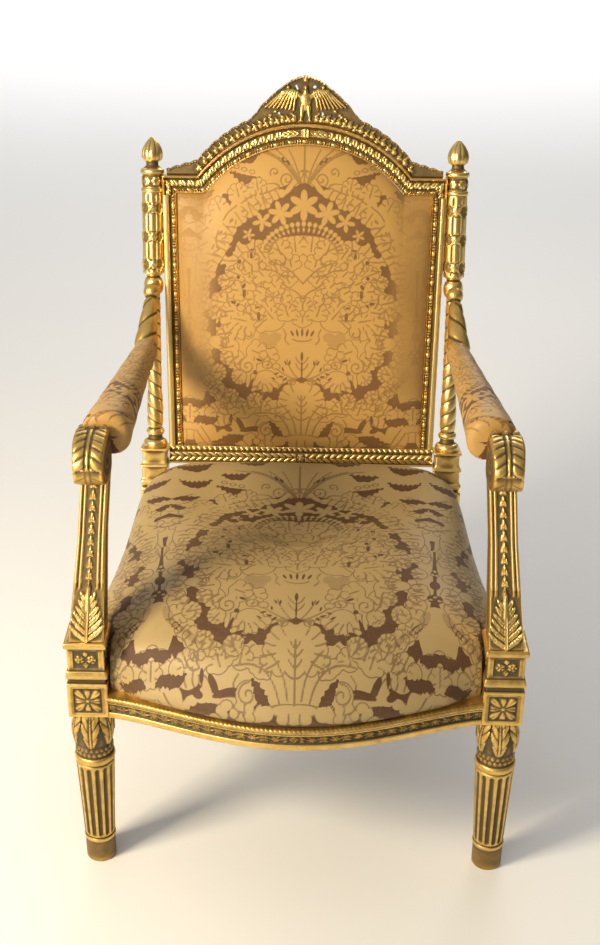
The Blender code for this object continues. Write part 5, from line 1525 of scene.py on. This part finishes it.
def rim_steps(count):
    """Even steps from -1 to 1, closer together next to both ends."""
    rim = np.array((0.0, 0.004, 0.010))
    return np.concatenate([-1 + rim, np.linspace(-0.982, 0.982, count), 1 - rim[::-1]])


def make_back_pad():
    u, v = np.meshgrid(rim_steps(206), rim_steps(250))
    x, rise = opening_grid(u, v)
    crown = ((1 - np.abs(u) ** 3.2) * (1 - np.abs(v) ** 3.2)) ** 0.62
    slack = np.sin(x * 25 + 0.5) * np.sin(rise * 16 + 1.1) + 0.5 * np.sin(x * 37 + rise * 29)
    points = back_point(x, rise, -0.002 + 0.036 * crown + 0.0009 * slack * soft(crown / 0.4))
    fade = 0.85 * soft((np.abs(x) - 0.140) / 0.045) * soft((rise - 0.10) / 0.08)
    along = (rise - BACK_PATTERN) * 1000
    return Cushion().cover(points, x * 1000, along, lambda rim: rim - OUT * 0.010, fade)


def make_back_cover():
    u, v = np.meshgrid(np.linspace(-1, 1, 84), np.linspace(-1, 1, 96))
    x, rise = opening_grid(u, v)
    points = back_point(x, rise, -0.0225 - 0.005 * ((1 - u ** 4) * (1 - v ** 4)) ** 0.5)
    along = (rise - BACK_PATTERN) * 1000
    return Cushion().cover(points[:, ::-1], x * 1000, along, lambda rim: rim + OUT * 0.009)


def make_arm_pad():
    """Stuffed roll on the arm's rail, flat below and thinner towards the back."""
    start, end, thin, thick = KNUCKLE_BACK + GAP, COLLAR_Y - 0.0035, 0.0190, 0.0385
    length, foot = end - start, 0.7123
    y = np.concatenate([[0, 0.0012, 0.0030, 0.0055, 0.0085], np.linspace(0.012, length - 0.010, 150),
                        length - np.array([0.0075, 0.005, 0.003, 0.0012, 0.0])])[:, None] + start
    turn = np.linspace(0, TURN, 84, endpoint=False)
    share = unit((0.4997 - y) / (0.4997 - 0.1063))
    radius = thin + (thick - thin) * share ** 1.15
    near, far = unit((y - start) / 0.014), unit((end - y) / 0.009)
    ends = (0.60 + 0.40 * np.sqrt(1 - (1 - near) ** 2)) * (0.55 + 0.45 * np.sqrt(1 - (1 - far) ** 2))
    c, s = np.cos(turn), np.sin(turn)
    reach = radius * ends * (np.abs(c) ** 2.3 + np.abs(s) ** 2.3) ** (-1 / 2.3)
    reach = reach * (1 + 0.012 * np.sin(y * 90) * np.sin(turn * 3))
    x = arm_x(y) - 0.0151 - 0.008 * share + radius + reach * c
    points = at(x, y, np.maximum(foot, foot + 0.85 * radius + reach * s * 0.98))
    across, along = np.meshgrid((turn - math.pi / 2) * 34 + 60, 120 + (0.4997 - y) * 1000)
    piece = Cushion()
    begin = piece.add(points, np.zeros(points.shape[:2]), woven(across, along))
    piece.faces(begin, len(y), len(turn), True, True)
    for row, turned in ((0, False), (len(y) - 1, True)):
        piece.cap(begin + row * len(turn), points[row], turned, 0.0, BLANK)
    return piece


seat = make_seat().build("seat_upholstery", silk, "seat_cushion", angle=180)
pad = make_back_pad().build("back_upholstery", back_silk_painted_light, "back_pad", angle=180)
make_back_cover().build("back_lining", back_silk_painted_light, "back_cover", angle=180)
for pad in build_pair(make_arm_pad(), "arm_pad", arm_silk_painted_light, "arm_padding", angle=180):
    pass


# Floor, light and camera.

floor_mesh = bpy.data.meshes.new("floor")
floor_mesh.from_pydata([(-25, -15, 0), (25, -15, 0), (25, 30, 0), (-25, 30, 0)], [], [(0, 1, 2, 3)])
floor = bpy.data.objects.new("floor", floor_mesh)
bpy.context.scene.collection.objects.link(floor)
pale, tree, shader = nodes_of("pale_floor")
feed(tree, shader, {"Base Color": (0.92, 0.92, 0.92, 1.0), "Roughness": 0.9})
floor_mesh.materials.append(pale)

scene = bpy.context.scene
scene.view_settings.view_transform = "Standard"
scene.world = bpy.data.worlds.new("studio")
scene.world.use_nodes = True
tree = scene.world.node_tree
toward = add_node(tree, "ShaderNodeTexCoord").outputs["Generated"]
split = add_node(tree, "ShaderNodeSeparateXYZ", {0: toward})
height = math_node(tree, "MULTIPLY_ADD", split.outputs["X"], -0.24, 0.5)
height = math_node(tree, "MULTIPLY_ADD", split.outputs["Z"], 0.5, height)
sky = ramp(tree, height, [(0.0, (0.22, 0.20, 0.17)), (0.50, (0.24, 0.22, 0.19)),
                          (0.62, (0.50, 0.47, 0.43)), (0.80, (1.0, 0.98, 0.95))])
feed(tree, tree.nodes["Background"], {"Color": sky, "Strength": 0.40})


def lamp(name, place, aim, size, power, colour):
    light = bpy.data.lights.new(name, "AREA")
    light.shape = "RECTANGLE"
    light.size, light.size_y = size
    light.energy = power
    light.color = colour
    item = bpy.data.objects.new(name, light)
    item.location = place
    item.rotation_euler = (Vector(aim) - Vector(place)).to_track_quat("-Z", "Y").to_euler()
    scene.collection.objects.link(item)


lamp("key", (-1.60, -1.25, 1.70), (0, 0, 0.8), (0.6, 0.6), 62, (1.0, 0.85, 0.60))
lamp("backdrop", (0, 8, 5), (0, 9, 0), (9, 5), 400, (1.0, 1.0, 1.0))
lamp("panel", (-1.5, -3.0, 1.2), (0, 0, 0.9), (2.2, 1.6), 22, (1.0, 0.96, 0.88))
lamp("rim", (0.6, 2.6, 2.4), (0, 0, 0.7), (2.0, 1.0), 18, (1.0, 0.96, 0.90))

# Camera of the photograph: its angles in degrees, its focal length and middle in pixels of the picture.
yaw, pitch, roll = (math.radians(value) for value in (-1.4776, 26.5424, -0.2508))
focal, picture_width, picture_height, middle_x, middle_y = 1411.36, 600, 945, 278.17, 452.9
forward = np.array((math.sin(yaw) * math.cos(pitch), math.cos(yaw) * math.cos(pitch), -math.sin(pitch)))
right = np.array((math.cos(yaw), -math.sin(yaw), 0.0))
down = np.cross(forward, right)
turned_right = right * math.cos(roll) + down * math.sin(roll)
turned_down = down * math.cos(roll) - right * math.sin(roll)
camera = bpy.data.cameras.new("camera")
camera.sensor_fit = "AUTO"
camera.lens = focal / picture_height * camera.sensor_width
camera.shift_x = (picture_width / 2 - middle_x) / picture_height
camera.shift_y = (middle_y - picture_height / 2) / picture_height
view = bpy.data.objects.new("camera", camera)
columns = (turned_right, -turned_down, -forward, world((0.0186, -1.7917, 1.6692)))
view.matrix_world = Matrix([*zip(*(map(float, column) for column in columns)), (0, 0, 0, 1)])
scene.collection.objects.link(view)
scene.camera = view
